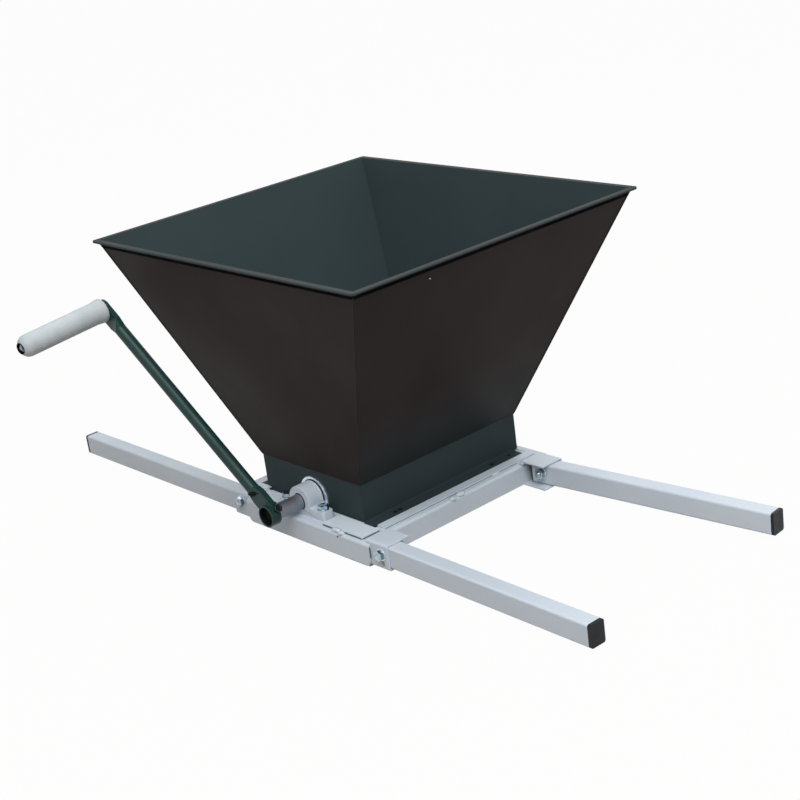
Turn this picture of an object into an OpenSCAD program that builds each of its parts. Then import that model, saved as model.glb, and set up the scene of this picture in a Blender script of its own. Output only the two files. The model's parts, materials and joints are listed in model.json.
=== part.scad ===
// Hand-cranked grape crusher: a square hopper on a folded sheet frame, with two fluted rollers in its throat.
// The origin is at the centre of the throat, level with the bottoms of the rails.
// +X runs along the carrying arms, -Y is the crank's side and +Z is up.

/* [Hopper] */
// Width of the rim along X, over the hem
rim_w = 545; // [460:5:620]
// Depth of the rim along Y, over the hem
rim_d = 489; // [400:1:491]
// Height of the rim above the rail bottoms
rim_z = 399; // [330:1:402]
// Height of the bend between the throat and the funnel
throat_top_z = 86.5; // [86:0.5:104]
// Outer width of the throat along X
throat_w = 205; // [203:1:240]
// Outer depth of the throat along Y
throat_d = 283; // [240:1:300]
// Thickness of the hopper's sheet
sheet_t = 2; // [1.5:0.5:3]
// Width of the lip that is bent out along the rim
lip_w = 8; // [6:1:14]
// Thickness of the folded lip
lip_t = 3; // [2.5:0.5:6]
// Radius of the lip's corners, seen from above
lip_r = 8; // [4:1:16]
// Width of the flange along the foot of the throat's sides
flange_w = 21; // [18:1:24]

/* [Frame] */
// Height of rails and crossbars
rail_h = 34; // [33:0.5:35]
// Thickness of the frame's sheet
frame_t = 3; // [2:0.5:4]
// Outer bend radius of the frame's sheet
frame_r = 4.5; // [4:0.5:6]
// Width of the near rail, which carries the bearing
near_rail_w = 42; // [42:0.5:50]
// Depth of the near rail's bottom flange
near_foot_w = 24; // [15:1:36]
// Radius of the near rail's lower corners
skin_r = 14; // [4:1:16]
// Width of the far rail
far_rail_w = 14; // [8:1:16]
// Width of the crossbars
crossbar_w = 45.5; // [42:0.5:60]
// Height of the crossbars, which end level with the rails at the top
crossbar_h = 29.5; // [24:0.5:33]
// Thickness of the seat plates and strips
seat_t = 2.5; // [2:0.5:5]
// Width of the seat strips on the crossbars
strip_w = 14; // [10:1:16]
// Length of the near left seat plate
left_plate_l = 47; // [30:1:50]
// Length of the near right seat plate
right_plate_l = 80; // [60:1:90]

/* [Arms] */
// Length over both arm ends along X
arm_span = 1052; // [800:2:1400]
// Height of the arm tube
arm_h = 29.5; // [26:0.5:31]
// Width of the arm tube
arm_w = 23; // [16:1:24]
// Wall of the arm tube
arm_wall = 1.5; // [1:0.5:3]
// Corner radius of the arm tube
arm_r = 3; // [2:0.5:4]
// Angle by which the far arms splay out
arm_splay = 5.8; // [0:0.2:6]
// Angle by which the near right arm splays out
near_splay = 1; // [0:0.2:1.4]
// Length of the arm brackets
bracket_l = 39; // [36:1:60]
// Thickness of the bracket sheet
bracket_t = 2.5; // [2:0.5:3]
// Play of the arm between the bracket's flanges, on each side
bracket_gap = 0.5; // [0.2:0.1:1]
// Thickness of the end cap's plate
cap_t = 4; // [2:0.5:8]

/* [Bearing and shaft] */
// Place of the drive shaft along X
shaft_x = 4; // [0:1:5]
// Height of the shafts above the rail bottoms
shaft_z = 52; // [51.5:0.5:53]
// Diameter of the drive shaft
shaft_d = 21; // [18:0.5:22]
// Radius of the bearing housing's arch
arch_r = 21; // [20:0.5:23]
// Depth of the bearing housing along the shaft
housing_d = 24.5; // [18:0.5:25]
// Length of the bearing housing's foot
foot_l = 95; // [80:1:97]
// Thickness of the bearing housing's foot
foot_t = 12; // [6:1:14]
// Depth of the bearing housing's foot along the shaft
foot_d = 18.5; // [17:0.5:22]
// Wall of the bearing bush
bush_wall = 3; // [2:0.5:4]
// Radius of the plate that closes the shaft slot
slot_plate_r = 28.5; // [26:0.5:30]
// Width of the shaft slot in the near wall
slot_w = 36; // [32:1:38]

/* [Crank] */
// Distance from the shaft's axis to the grip's axis
crank_r = 367; // [320:1:373]
// Angle of the crank above the +X direction, at rest
crank_angle = 135.7; // [0:0.1:359.9]
// Angle by which the crank arm leans away from the hopper
crank_lean = 6.2; // [6.1:0.1:7]
// Distance along the shaft from the origin to the crank arm's foot
crank_y = 213.5; // [213.5:0.5:225]
// Diameter of the crank's tube
crank_d = 17; // [16:0.5:20]
// Wall of the crank's tube
crank_wall = 2; // [1.5:0.5:3]
// Thickness of the tube's flat under the grip
crank_flat_t = 6; // [4:0.5:6]
// Width of the tube's flat under the grip
crank_flat_w = 27; // [20:1:29]
// Thickness of the tube's flat at the boss
crank_foot_t = 8; // [6:0.5:9]
// Width of the tube's flat at the boss
crank_foot_w = 27; // [20:1:29]
// Diameter of the crank's boss
boss_d = 30; // [28:1:36]
// Length of the crank's boss
boss_l = 14.5; // [14:0.5:30]
// Length of the grip
grip_l = 136; // [100:1:160]
// Diameter of the grip's collar
grip_collar_d = 34; // [30:1:40]
// Diameter of the grip next to its collar
grip_d = 31; // [26:1:34]
// Diameter of the grip at its free end
grip_end_d = 30.5; // [28:0.5:32]
// Diameter of the spindle that the grip turns on
spindle_d = 10; // [8:1:12]

/* [Rollers and gears] */
// Teeth on each gear, an odd count
teeth = 21; // [21]
// Gear module, which with the teeth sets the distance between the rollers
gear_m = 3; // [2.9:0.05:3]
// Face width of the gears
gear_w = 10; // [6:1:14]
// Gap between the rollers
roller_gap = 3; // [1:0.5:8]
// Flutes along each roller
flutes = 12; // [8:2:16]
// Depth of the flutes
flute_depth = 3; // [1:0.5:4]
// Radius of the flutes
flute_r = 5; // [4:0.5:6]
// Diameter of the idler shaft
idler_d = 16; // [12:0.5:18]
// Gap between a roller and its guide plate
guide_gap = 2; // [1:0.5:4]
// Thickness of the guide plates
guide_t = 1.5; // [1:0.5:2]

/* [Fasteners] */
// Diameter of the bolts through arms and bearing foot
bolt_d = 8; // [6:1:8]
// Width across the flats of the hexagon heads
hex_w = 13; // [12:0.5:13]
// Height of the hexagon heads
head_h = 5.3; // [4:0.1:6]
// Height of the nuts
nut_h = 6.5; // [5:0.1:7]
// Diameter of the washers
washer_d = 16; // [14:1:16]
// Thickness of the washers
washer_t = 1.6; // [1:0.1:2]
// Diameter of the set bolt in the crank's boss
set_bolt_d = 6; // [5:1:6]
// Width across the flats of the set bolt's head
set_hex_w = 10; // [8:0.5:10]
// Diameter of the screws in the throat's flanges
screw_d = 3; // [2.5:0.5:4]
// Diameter of their heads
screw_head_d = 5.5; // [5:0.5:8]

/* [Hidden] */

$fn = 64;

// Paint and metal colours
frame_paint = [0.75, 0.79, 0.82];
hopper_paint = [0.20, 0.23, 0.22];
crank_paint = [0.15, 0.25, 0.22];
bright_steel = [0.72, 0.73, 0.74];
black_steel = [0.10, 0.11, 0.12];
cap_plastic = [0.05, 0.06, 0.08];
grip_plastic = [0.78, 0.78, 0.78];
bronze = [0.71, 0.54, 0.30];
roller_alloy = [0.78, 0.79, 0.80];

// Clearances: a fixed round fit, a running fit, and parts that pass each other
slip = 0.05;
run = 0.05;
hole_play = 0.5;
side_play = 0.5;
over = 1;

// Funnel: half sizes, slopes and level thicknesses of its panels
half_w = throat_w / 2;
half_d = throat_d / 2;
funnel_h = rim_z - lip_t - throat_top_z;
slope_x = (rim_w / 2 - lip_w - half_w) / funnel_h;
slope_y = (rim_d / 2 - lip_w - half_d) / funnel_h;
function level_t(slope) = sheet_t * sqrt(1 + slope * slope);

// Throat: its sheet bends, the flanges' overhang at the near end and their gap at the far end
throat_bend = 1.5;
flange_near = 4.5;
flange_far = 10;

// Throat: inner faces
in_x = half_w - sheet_t;
in_y = half_d - sheet_t;

// Frame: places across the crusher
ledge = 1;
near_in_y = -half_d + ledge;
near_skin_y = near_in_y - near_rail_w;
far_in_y = in_y;
far_skin_y = far_in_y + far_rail_w;
bracket_h = arm_h + 2 * (bracket_gap + bracket_t);
bracket_z = 4;
arm_z = bracket_z + bracket_t + bracket_gap;
near_web_y = near_skin_y + frame_t;
far_web_y = half_d + 0.5;
bracket_depth = near_in_y - ledge - near_web_y;
far_flange_y = far_web_y - 38;

// Frame: places along the crusher
frame_x = half_w + crossbar_w;
near_left_x = half_w - 6.5;
skin_lap = 5.5;
arm_start_gap = 6;
hex_r = hex_w / sqrt(3);
bolt_stick_out = 3;
plate_in = 6.5;
plate_d = near_rail_w - plate_in - 6;
plate_r = 1.5;
foot_gap = 4.5;

// Bearing: the housing stands midway on the near rail's top flange
housing_y = near_skin_y + 13 + housing_d / 2;
housing_y0 = housing_y - housing_d / 2;
housing_y1 = housing_y + housing_d / 2;
foot_bolt_x = foot_l / 2 - 10;
foot_bolt_y = housing_y0 + foot_d / 2;
housing_lip = 2;
housing_bore_r = shaft_d / 2 + 1;
bush_r = shaft_d / 2 + bush_wall;
slot_plate_t = 3;
slot_plate_z = shaft_z - 3;
slot_r = 4;
slot_top_z = shaft_z + shaft_d / 2 + 6.5;

// Rollers and gears: centre distance, radii and lengths
pitch_r = gear_m * teeth / 2;
centre_d = 2 * pitch_r;
idler_x = shaft_x - centre_d;
roller_r = (centre_d - roller_gap) / 2;
roller_end = 14;
roller_y = in_y - roller_end;
far_bush_flange_t = 4;
far_bush_flange = 3;
bush_shoulder = 1;
hub_l = 5;
gear_y = far_skin_y + 2;
gear_end_y = gear_y + gear_w;
near_bush_l = 12;
shaft_stick_out = 3;

// Crank: boss, and where the tube is flattened
boss_out = 12.7;
boss_y0 = -crank_y - boss_out;
boss_y1 = boss_y0 + boss_l;
boss_recess = 8;
boss_mouth_r = boss_d / 2 - 2;
blend_step = 0.5;
flat_foot = 31;
flat_blend = 12;
flat_top = 25;
spindle_head_h = 5;
spindle_head_r = 7;
spindle_rivet_t = 1.5;
grip_start = crank_flat_t / 2 + 0.4;
grip_recess = 6;
grip_collar_l = 5;
grip_flare_l = 11;
grip_edge = 1.5;
grip_end_r = 13;
set_bolt_angle = 38;
set_bolt_y = crank_y + 1.5;
set_bolt_gap = 1.5;
set_head_h = 4;

// Screws of the throat's flanges
screw_head_h = 1.6;
screw_in = 9.5;
screw_l = 10;
screw_y = [-99, -90, 80, 115];

// Gear teeth: involute flanks from the base circle to the tip
pressure_angle = 20;
backlash = 0.15;
base_r = pitch_r * cos(pressure_angle);
tip_r = pitch_r + gear_m;
root_r = pitch_r - 1.25 * gear_m;
flank_steps = 4;

// Distance from the hopper's centre to a bracket's inner end: the near left one reaches in past the throat
function bracket_in(side_x, side_y) = side_x < 0 && side_y < 0 ? near_left_x : frame_x;

// Place of an arm's bolt: along the bracket, and above the rail bottoms
function bolt_in(side_x) = side_x > 0 ? 27 : 20;
function bolt_z(side_x) = arm_z + (side_x > 0 ? 18 : 20);

// Extrudes a profile drawn in Y and Z along X
module along_x(x0, x1) {
    translate([x0, 0, 0])
        rotate([90, 0, 90])
            linear_extrude(x1 - x0)
                children();
}

// Extrudes a profile drawn in X and Z along Y
module along_y(y0, y1) {
    translate([0, y1, 0])
        rotate([90, 0, 0])
            linear_extrude(y1 - y0)
                children();
}

// A cylinder along Y
module rod_y(y0, y1, r) {
    translate([0, y1, 0])
        rotate([90, 0, 0])
            cylinder(h = y1 - y0, r = r);
}

// A ring along Y
module ring_y(y0, y1, r, hole_r) {
    difference() {
        rod_y(y0, y1, r);
        rod_y(y0 - over, y1 + over, hole_r);
    }
}

// A hexagon along Y, as for a bolt head or a nut
module hex_y(y0, y1) {
    translate([0, y1, 0])
        rotate([90, 0, 0])
            cylinder(h = y1 - y0, r = hex_r, $fn = 6);
}

// A rectangle with four round corners
module round_box_2d(w, h, r) {
    translate([r, 0])
        square([w - 2 * r, h]);
    translate([0, r])
        square([w, h - 2 * r]);
    for (x = [r, w - r], y = [r, h - r])
        translate([x, y])
            circle(r = r);
}

// A folded channel: its web lies on the Y axis and its flanges run along +X
module channel_2d(depth, height, t, r) {
    difference() {
        round_box_2d(depth + 2 * r, height, r);
        translate([t, t])
            round_box_2d(depth + 2 * r, height - 2 * t, r - t);
        translate([depth, -over])
            square([4 * r + over, height + 2 * over]);
    }
}

// An upturned trough: open below, with folded top edges
module trough_2d(w, h, t, r) {
    difference() {
        translate([0, -2 * r])
            round_box_2d(w, h + 2 * r, r);
        translate([t, -3 * r])
            round_box_2d(w - 2 * t, h + 3 * r - t, r - t);
        translate([-over, -2 * r - over])
            square([w + 2 * over, 2 * r + over]);
    }
}

// A straight piece of sheet from p to q, on the left of that line
module strip_2d(p, q, t) {
    d = q - p;
    translate(p)
        rotate(atan2(d.y, d.x))
            square([norm(d), t]);
}

// Near rail: outer skin with round lower corners, a wide top flange and a narrow foot
module near_rail() {
    x0 = -near_left_x - skin_lap;
    x1 = frame_x + skin_lap;
    color(frame_paint)
        difference() {
            along_x(x0, x1)
                translate([near_skin_y, 0])
                    channel_2d(near_rail_w, rail_h, frame_t, frame_r);
            translate([x0 - over, near_skin_y + near_foot_w, -over])
                cube([x1 - x0 + 2 * over, near_rail_w, rail_h / 2]);
            for (end = [x0 - over, frame_x - side_play])
                translate([end, near_web_y, -over])
                    cube([skin_lap + side_play + over, near_rail_w, rail_h + 2 * over]);
            skin_corner(x0, 1);
            skin_corner(x1, -1);
            for (side = [-1, 1])
                translate([shaft_x + side * foot_bolt_x, foot_bolt_y, 0])
                    cylinder(h = rail_h + over, r = (bolt_d + hole_play) / 2);
        }
}

// The waste that rounds a lower corner of the near rail's skin
module skin_corner(x, side) {
    translate([x, near_skin_y - over, 0])
        mirror([side > 0 ? 0 : 1, 0, 0])
            difference() {
                translate([-over, 0, -over])
                    cube([skin_r + over, frame_t + 2 * over, skin_r + over]);
                translate([skin_r, -over, skin_r])
                    rotate([-90, 0, 0])
                        cylinder(h = frame_t + 4 * over, r = skin_r);
            }
}

// Far rail: a narrow channel under the throat's far wall
module far_rail() {
    color(frame_paint)
        along_x(-frame_x, frame_x)
            translate([far_skin_y, 0])
                mirror([1, 0])
                    channel_2d(far_rail_w, rail_h, frame_t, frame_r);
}

// Crossbar: an upturned trough beside the throat
module crossbar(side) {
    y0 = side > 0 ? near_in_y : -half_d;
    x0 = side > 0 ? half_w : -frame_x;
    color(frame_paint)
        difference() {
            along_y(y0, far_in_y)
                translate([x0, rail_h - crossbar_h])
                    trough_2d(crossbar_w, crossbar_h, frame_t, frame_r);
            at_flange_screws(side)
                cylinder(h = rail_h + over, r = screw_d / 2 + slip);
        }
}

// Seat plates on the near rail and seat strips on the crossbars
module seat(x, y, w, d) {
    color(frame_paint)
        translate([x, y, rail_h])
            linear_extrude(seat_t)
                round_box_2d(w, d, plate_r);
}

module near_left_plate() {
    seat(-near_left_x + side_play, near_skin_y + plate_in, left_plate_l, plate_d);
}

module near_right_plate() {
    seat(shaft_x + foot_l / 2 + foot_gap, near_skin_y + plate_in, right_plate_l, plate_d);
}

module side_strip(side) {
    x = half_w + flange_w + side_play;
    seat(side > 0 ? x : -x - strip_w, near_in_y + side_play, strip_w, far_in_y - near_in_y - 2 * side_play);
}

// Arm bracket: a channel that opens towards the hopper, with a hole for the arm's bolt
module bracket(side_x, side_y) {
    x0 = bracket_in(side_x, side_y);
    depth = side_y > 0 ? far_web_y - far_flange_y : bracket_depth;
    color(frame_paint)
        difference() {
            mirror([side_x > 0 ? 0 : 1, 0, 0])
                along_x(x0, x0 + bracket_l)
                    translate([side_y > 0 ? far_web_y : near_web_y, bracket_z])
                        mirror([side_y > 0 ? 1 : 0, 0])
                            channel_2d(depth, bracket_h, bracket_t, bracket_t + 1);
            at_arm_bolt(side_x, side_y)
                rod_y(-over, bracket_t + over, (bolt_d + hole_play) / 2);
        }
}

// Places children at an arm's bolt: local +Y runs in from the bracket's outer face
module at_arm_bolt(side_x, side_y) {
    x = bracket_in(side_x, side_y) + bolt_in(side_x);
    translate([side_x * x, side_y > 0 ? far_web_y : near_web_y, bolt_z(side_x)])
        mirror([0, side_y > 0 ? 1 : 0, 0])
            children();
}

// Places children at an arm's pivot edge: local +X runs outwards along the arm, +Y away from the hopper
module at_arm(side_x, side_y) {
    x = bracket_in(side_x, side_y) + bracket_l;
    y = side_y > 0 ? far_web_y - bracket_t : near_web_y + bracket_t;
    translate([side_x * x, y, arm_z])
        mirror([side_x > 0 ? 0 : 1, 0, 0])
            mirror([0, side_y > 0 ? 0 : 1, 0])
                rotate([0, 0, splay(side_x, side_y)])
                    children();
}

function splay(side_x, side_y) = side_y > 0 ? arm_splay : side_x > 0 ? near_splay : 0;
function arm_out(side_x, side_y) =
    (arm_span / 2 - bracket_in(side_x, side_y) - bracket_l - arm_w * sin(splay(side_x, side_y)))
        / cos(splay(side_x, side_y)) - cap_t;

// Arm: a rectangular tube with round corners, held in its bracket by one bolt
module arm(side_x, side_y) {
    color(frame_paint)
        difference() {
            at_arm(side_x, side_y)
                along_x(arm_start_gap - bracket_l, arm_out(side_x, side_y))
                    translate([-arm_w, 0])
                        difference() {
                            round_box_2d(arm_w, arm_h, arm_r);
                            translate([arm_wall, arm_wall])
                                round_box_2d(arm_w - 2 * arm_wall, arm_h - 2 * arm_wall, arm_r - arm_wall);
                        }
            at_arm_bolt(side_x, side_y)
                rod_y(0, 2 * arm_w, (bolt_d + hole_play) / 2);
        }
}

// End cap: a plate as wide as the tube, with a plug that fits inside it
module cap(side_x, side_y) {
    plug_l = 14;
    plug_wall = 2;
    plug_in = arm_wall + slip;
    plug_r = arm_r - arm_wall;
    plug_w = arm_w - 2 * plug_in;
    plug_h = arm_h - 2 * plug_in;
    end = arm_out(side_x, side_y);
    color(cap_plastic)
        at_arm(side_x, side_y) {
            along_x(end, end + cap_t)
                translate([-arm_w, 0])
                    round_box_2d(arm_w, arm_h, arm_r);
            along_x(end - plug_l, end)
                translate([plug_in - arm_w, plug_in])
                    difference() {
                        round_box_2d(plug_w, plug_h, plug_r);
                        translate([plug_wall, plug_wall])
                            round_box_2d(plug_w - 2 * plug_wall, plug_h - 2 * plug_wall, plug_r / 2);
                    }
        }
}

// How far the stack under a nut starts from the bracket's outer face, with the arm's skew allowed for
function stack_in(side_x, side_y) =
    bracket_t + arm_w / cos(splay(side_x, side_y))
        + (bracket_l - bolt_in(side_x) + washer_d / 2) * tan(splay(side_x, side_y));

// Arm bolt: its head lies outside the bracket and its shank runs through web and arm
module arm_bolt(side_x, side_y) {
    end = stack_in(side_x, side_y) + washer_t + nut_h + bolt_stick_out;
    color(bright_steel)
        at_arm_bolt(side_x, side_y) {
            hex_y(-washer_t - head_h, -washer_t);
            rod_y(-washer_t - over / 2, end, bolt_d / 2);
        }
}

module arm_nut(side_x, side_y) {
    y0 = stack_in(side_x, side_y) + washer_t;
    color(bright_steel)
        at_arm_bolt(side_x, side_y)
            difference() {
                hex_y(y0, y0 + nut_h);
                rod_y(y0 - over, y0 + nut_h + over, bolt_d / 2 + slip);
            }
}

module arm_washers() {
    color(bright_steel)
        for (side_x = [-1, 1], side_y = [-1, 1])
            at_arm_bolt(side_x, side_y) {
                ring_y(-washer_t, 0, washer_d / 2, bolt_d / 2 + slip);
                translate([0, stack_in(side_x, side_y), 0])
                    ring_y(0, washer_t, washer_d / 2, bolt_d / 2 + slip);
            }
}

// Funnel panel that faces +X: a slope, a lip bent out over it and a mitre at each end.
// throat_h and rim_h are half sizes towards the panel, side_h is the half size along it.
module panel(throat_h, rim_h, side_h, slope, side_slope) {
    t = level_t(slope);
    side_t = level_t(side_slope);
    top_h = throat_h + slope * (rim_z - throat_top_z);
    lip_z = rim_z - lip_t;
    hem_h = rim_h - lip_t / 2;
    cut = [-side_t, t, slope * side_t - side_slope * t];
    reach = 3 * rim_z;
    difference() {
        intersection() {
            along_y(-reach / 2, reach / 2) {
                polygon([[throat_h, throat_top_z], [rim_h - lip_w, lip_z], [hem_h, lip_z], [hem_h, rim_z],
                    [top_h - t, rim_z], [throat_h - t, throat_top_z]]);
                translate([hem_h, rim_z - lip_t / 2])
                    circle(r = lip_t / 2);
            }
            linear_extrude(rim_z + over)
                children();
        }
        for (end = [0, 1])
            mirror([0, end, 0])
                translate([throat_h, side_h, throat_top_z])
                    rotate([0, -atan2(cut.z, norm([cut.x, cut.y])), atan2(cut.y, cut.x)])
                        translate([0, -reach, -reach])
                            cube(2 * reach);
    }
}

// The rim's outline seen from above
module rim_outline_2d(w, d) {
    translate([-w / 2, -d / 2])
        round_box_2d(w, d, lip_r);
}

module panel_x() {
    panel(half_w, rim_w / 2, half_d, slope_x, slope_y)
        rim_outline_2d(rim_w, rim_d);
}

module panel_y() {
    rotate([0, 0, 90])
        panel(half_d, rim_d / 2, half_w, slope_y, slope_x)
            rim_outline_2d(rim_d, rim_w);
}

module near_panel() {
    color(hopper_paint)
        mirror([0, 1, 0])
            panel_y();
}

module far_panel() {
    color(hopper_paint)
        panel_y();
}

module left_panel() {
    color(hopper_paint)
        mirror([1, 0, 0])
            panel_x();
}

module right_panel() {
    color(hopper_paint)
        panel_x();
}

// Throat wall at the crank's side, with a slot that lets the shaft in from below
module near_wall() {
    color(hopper_paint)
        along_y(-half_d, -in_y)
            difference() {
                translate([-in_x, rail_h])
                    square([2 * in_x, throat_top_z - rail_h]);
                translate([shaft_x - slot_w / 2, rail_h - over - slot_r])
                    round_box_2d(slot_w, slot_top_z - rail_h + over + slot_r, slot_r);
            }
}

// Throat wall at the gears' side, with a hole for each shaft's bush
module far_wall() {
    color(hopper_paint)
        along_y(in_y, half_d)
            difference() {
                translate([-in_x, rail_h])
                    square([2 * in_x, throat_top_z - rail_h]);
                translate([shaft_x, shaft_z])
                    circle(r = shaft_d / 2 + bush_wall + slip);
                translate([idler_x, shaft_z])
                    circle(r = idler_d / 2 + bush_wall + slip);
            }
}

// Side wall of the throat: its foot is bent out into a flange that lies on the crossbar.
// On the right the flange runs on over the near rail.
module side_wall(side) {
    top = 2 * throat_top_z;
    out = flange_w + 2 * throat_bend;
    end = half_d + (side > 0 ? flange_near : 0);
    color(hopper_paint)
        mirror([side > 0 ? 0 : 1, 0, 0])
            difference() {
                along_y(-end, half_d)
                    difference() {
                        translate([in_x, rail_h])
                            round_box_2d(sheet_t + 2 * out, top, throat_bend + sheet_t);
                        translate([half_w, rail_h + sheet_t])
                            round_box_2d(4 * out, top, throat_bend);
                        translate([in_x - over, throat_top_z])
                            square([4 * out, top]);
                        translate([half_w + flange_w, rail_h - over])
                            square([2 * out, top]);
                    }
                translate([half_w, half_d - flange_far, rail_h - over])
                    cube([flange_w + over, flange_far + over, sheet_t + throat_bend + 2 * over]);
                translate([in_x - over, -end - over, rail_h - over])
                    cube([sheet_t + throat_bend + over, end - half_d + over, top]);
                mirror([side > 0 ? 0 : 1, 0, 0])
                    at_flange_screws(side)
                        cylinder(h = rail_h + 2 * sheet_t, r = screw_d / 2 + slip);
            }
}

// Places children at the screws of one side flange
module at_flange_screws(side) {
    for (y = screw_y)
        translate([side * (half_w + flange_w - screw_in), y, 0])
            children();
}

// Domed screws that hold the side flanges to the crossbars
module flange_screws() {
    dome_r = screw_head_d;
    color(black_steel)
        for (side = [-1, 1])
            at_flange_screws(side)
                translate([0, 0, rail_h + sheet_t]) {
                    intersection() {
                        cylinder(h = screw_head_h, r = screw_head_d / 2);
                        translate([0, 0, screw_head_h - dome_r])
                            sphere(r = dome_r);
                    }
                    translate([0, 0, -screw_l])
                        cylinder(h = screw_l + screw_head_h / 2, r = screw_d / 2);
                }
}

// Plate round the shaft in front of the near wall's slot, flat where it stands on the rail
module slot_plate() {
    color(bright_steel)
        along_y(-half_d - slot_plate_t, -half_d)
            difference() {
                translate([shaft_x, slot_plate_z])
                    circle(r = slot_plate_r);
                translate([shaft_x - 2 * slot_plate_r, rail_h - 2 * slot_plate_r])
                    square([4 * slot_plate_r, 2 * slot_plate_r]);
                translate([shaft_x, shaft_z])
                    circle(r = shaft_d / 2 + run);
            }
}

// Bearing housing: a round arch on straight cheeks, blended into a foot with two bolt holes.
// Its bore is open at the back, and a lip in front keeps the bush in.
module bearing_housing() {
    cheek = arch_r - 2;
    fillet = 5;
    foot_r = 4;
    color(frame_paint)
        difference() {
            union() {
                along_y(housing_y0, housing_y1)
                    translate([shaft_x, 0]) {
                        translate([0, shaft_z])
                            circle(r = arch_r);
                        translate([-cheek, rail_h])
                            square([2 * cheek, shaft_z - rail_h]);
                        difference() {
                            translate([-cheek - fillet, rail_h])
                                square([2 * (cheek + fillet), foot_t + fillet]);
                            for (side = [-1, 1])
                                translate([side * (cheek + fillet), rail_h + foot_t + fillet])
                                    circle(r = fillet);
                        }
                    }
                translate([shaft_x - foot_l / 2, housing_y0, rail_h])
                    linear_extrude(foot_t)
                        round_box_2d(foot_l, foot_d, foot_r);
            }
            translate([shaft_x - foot_l / 2, housing_y0 - over, rail_h - arch_r])
                cube([foot_l, housing_d + 2 * over, arch_r]);
            translate([shaft_x, 0, shaft_z]) {
                rod_y(housing_y0 + housing_lip, housing_y1 + over, bush_r + slip);
                rod_y(housing_y0 - over, housing_y1, housing_bore_r);
            }
            for (side = [-1, 1])
                translate([shaft_x + side * foot_bolt_x, foot_bolt_y, 0])
                    cylinder(h = rail_h + foot_t + over, r = (bolt_d + hole_play) / 2);
        }
}

module bearing_bush() {
    color(bronze)
        translate([shaft_x, 0, shaft_z])
            ring_y(housing_y0 + housing_lip, housing_y1, bush_r, shaft_d / 2 + run);
}

// Bolt through the housing's foot and the rail, with its washer and its nut below the rail's flange
module housing_bolt(side) {
    under = rail_h - frame_t;
    color(bright_steel)
        translate([shaft_x + side * foot_bolt_x, foot_bolt_y, 0]) {
            translate([0, 0, rail_h + foot_t])
                cylinder(h = washer_t, r = washer_d / 2);
            translate([0, 0, rail_h + foot_t + washer_t])
                cylinder(h = head_h, r = hex_r, $fn = 6);
            translate([0, 0, under - nut_h])
                cylinder(h = nut_h, r = hex_r, $fn = 6);
            translate([0, 0, under - nut_h - bolt_stick_out])
                cylinder(h = rail_h + foot_t - under + nut_h + bolt_stick_out + over, r = bolt_d / 2);
        }
}

// Flanged bush in the far wall
module far_bush(x, d) {
    color(bronze)
        translate([x, 0, shaft_z])
            difference() {
                union() {
                    rod_y(in_y, half_d + over, d / 2 + bush_wall);
                    rod_y(half_d, half_d + far_bush_flange_t, d / 2 + bush_wall + far_bush_flange);
                }
                rod_y(in_y - over, half_d + far_bush_flange_t + over, d / 2 + run);
            }
}

module far_drive_bush() {
    far_bush(shaft_x, shaft_d);
}

module far_idler_bush() {
    far_bush(idler_x, idler_d);
}

// Blind bush inside the near wall for the idler's free end
module near_idler_bush() {
    color(bronze)
        translate([idler_x, 0, shaft_z])
            difference() {
                union() {
                    rod_y(-in_y, -in_y + 3, idler_d / 2 + bush_wall + 6);
                    rod_y(-in_y, -in_y + near_bush_l, idler_d / 2 + bush_wall + 1);
                }
                rod_y(-in_y + 2, -in_y + near_bush_l + over, idler_d / 2 + run);
            }
}

// Guide plate that leads the grapes from a throat side to a roller
module guide(side) {
    tip_a = 10;
    wall_z = throat_top_z - 10.5;
    axis_x = side > 0 ? shaft_x : -idler_x;
    tip = [axis_x + (roller_r + guide_gap) * cos(tip_a), shaft_z + (roller_r + guide_gap) * sin(tip_a)];
    color(bright_steel)
        mirror([side > 0 ? 0 : 1, 0, 0])
            along_y(-in_y + side_play, in_y - side_play) {
                strip_2d(tip, [in_x, wall_z], guide_t);
                translate([in_x - guide_t, wall_z])
                    square([guide_t, 8]);
            }
}

module drive_shaft() {
    color(bright_steel)
        translate([shaft_x, 0, shaft_z])
            rod_y(boss_y0 + boss_recess, gear_end_y + shaft_stick_out, shaft_d / 2);
}

module idler_shaft() {
    color(bright_steel)
        translate([idler_x, 0, shaft_z])
            rod_y(-in_y + 2.5, gear_end_y + shaft_stick_out, idler_d / 2);
}

// Fluted roller on its shaft
module roller(x, bore_d, phase) {
    color(roller_alloy)
        along_y(-roller_y, roller_y)
            translate([x, shaft_z])
                difference() {
                    circle(r = roller_r);
                    circle(r = bore_d / 2 + slip);
                    for (i = [0 : flutes - 1])
                        rotate(phase + i * 360 / flutes)
                            translate([roller_r + flute_r - flute_depth, 0])
                                circle(r = flute_r);
                }
}

module driven_roller() {
    roller(shaft_x, shaft_d, 0);
}

module idler_roller() {
    roller(idler_x, idler_d, 180 / flutes);
}

// Involute gear: a point on a flank by its radius, then one tooth, then all of them
function inv(a) = tan(a) * 180 / PI - a;
function flank_angle(r) =
    90 / teeth - backlash / 2 / pitch_r * 180 / PI + inv(pressure_angle) - inv(acos(base_r / r));
function at_angle(r, a) = [r * cos(a), r * sin(a)];
function flank_r(i) = base_r + (tip_r - base_r) * i / flank_steps;
function tooth(a) = concat(
    [at_angle(root_r, a - flank_angle(base_r))],
    [for (i = [0 : flank_steps]) at_angle(flank_r(i), a - flank_angle(flank_r(i)))],
    [for (i = [flank_steps : -1 : 0]) at_angle(flank_r(i), a + flank_angle(flank_r(i)))],
    [at_angle(root_r, a + flank_angle(base_r))]);

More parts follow.
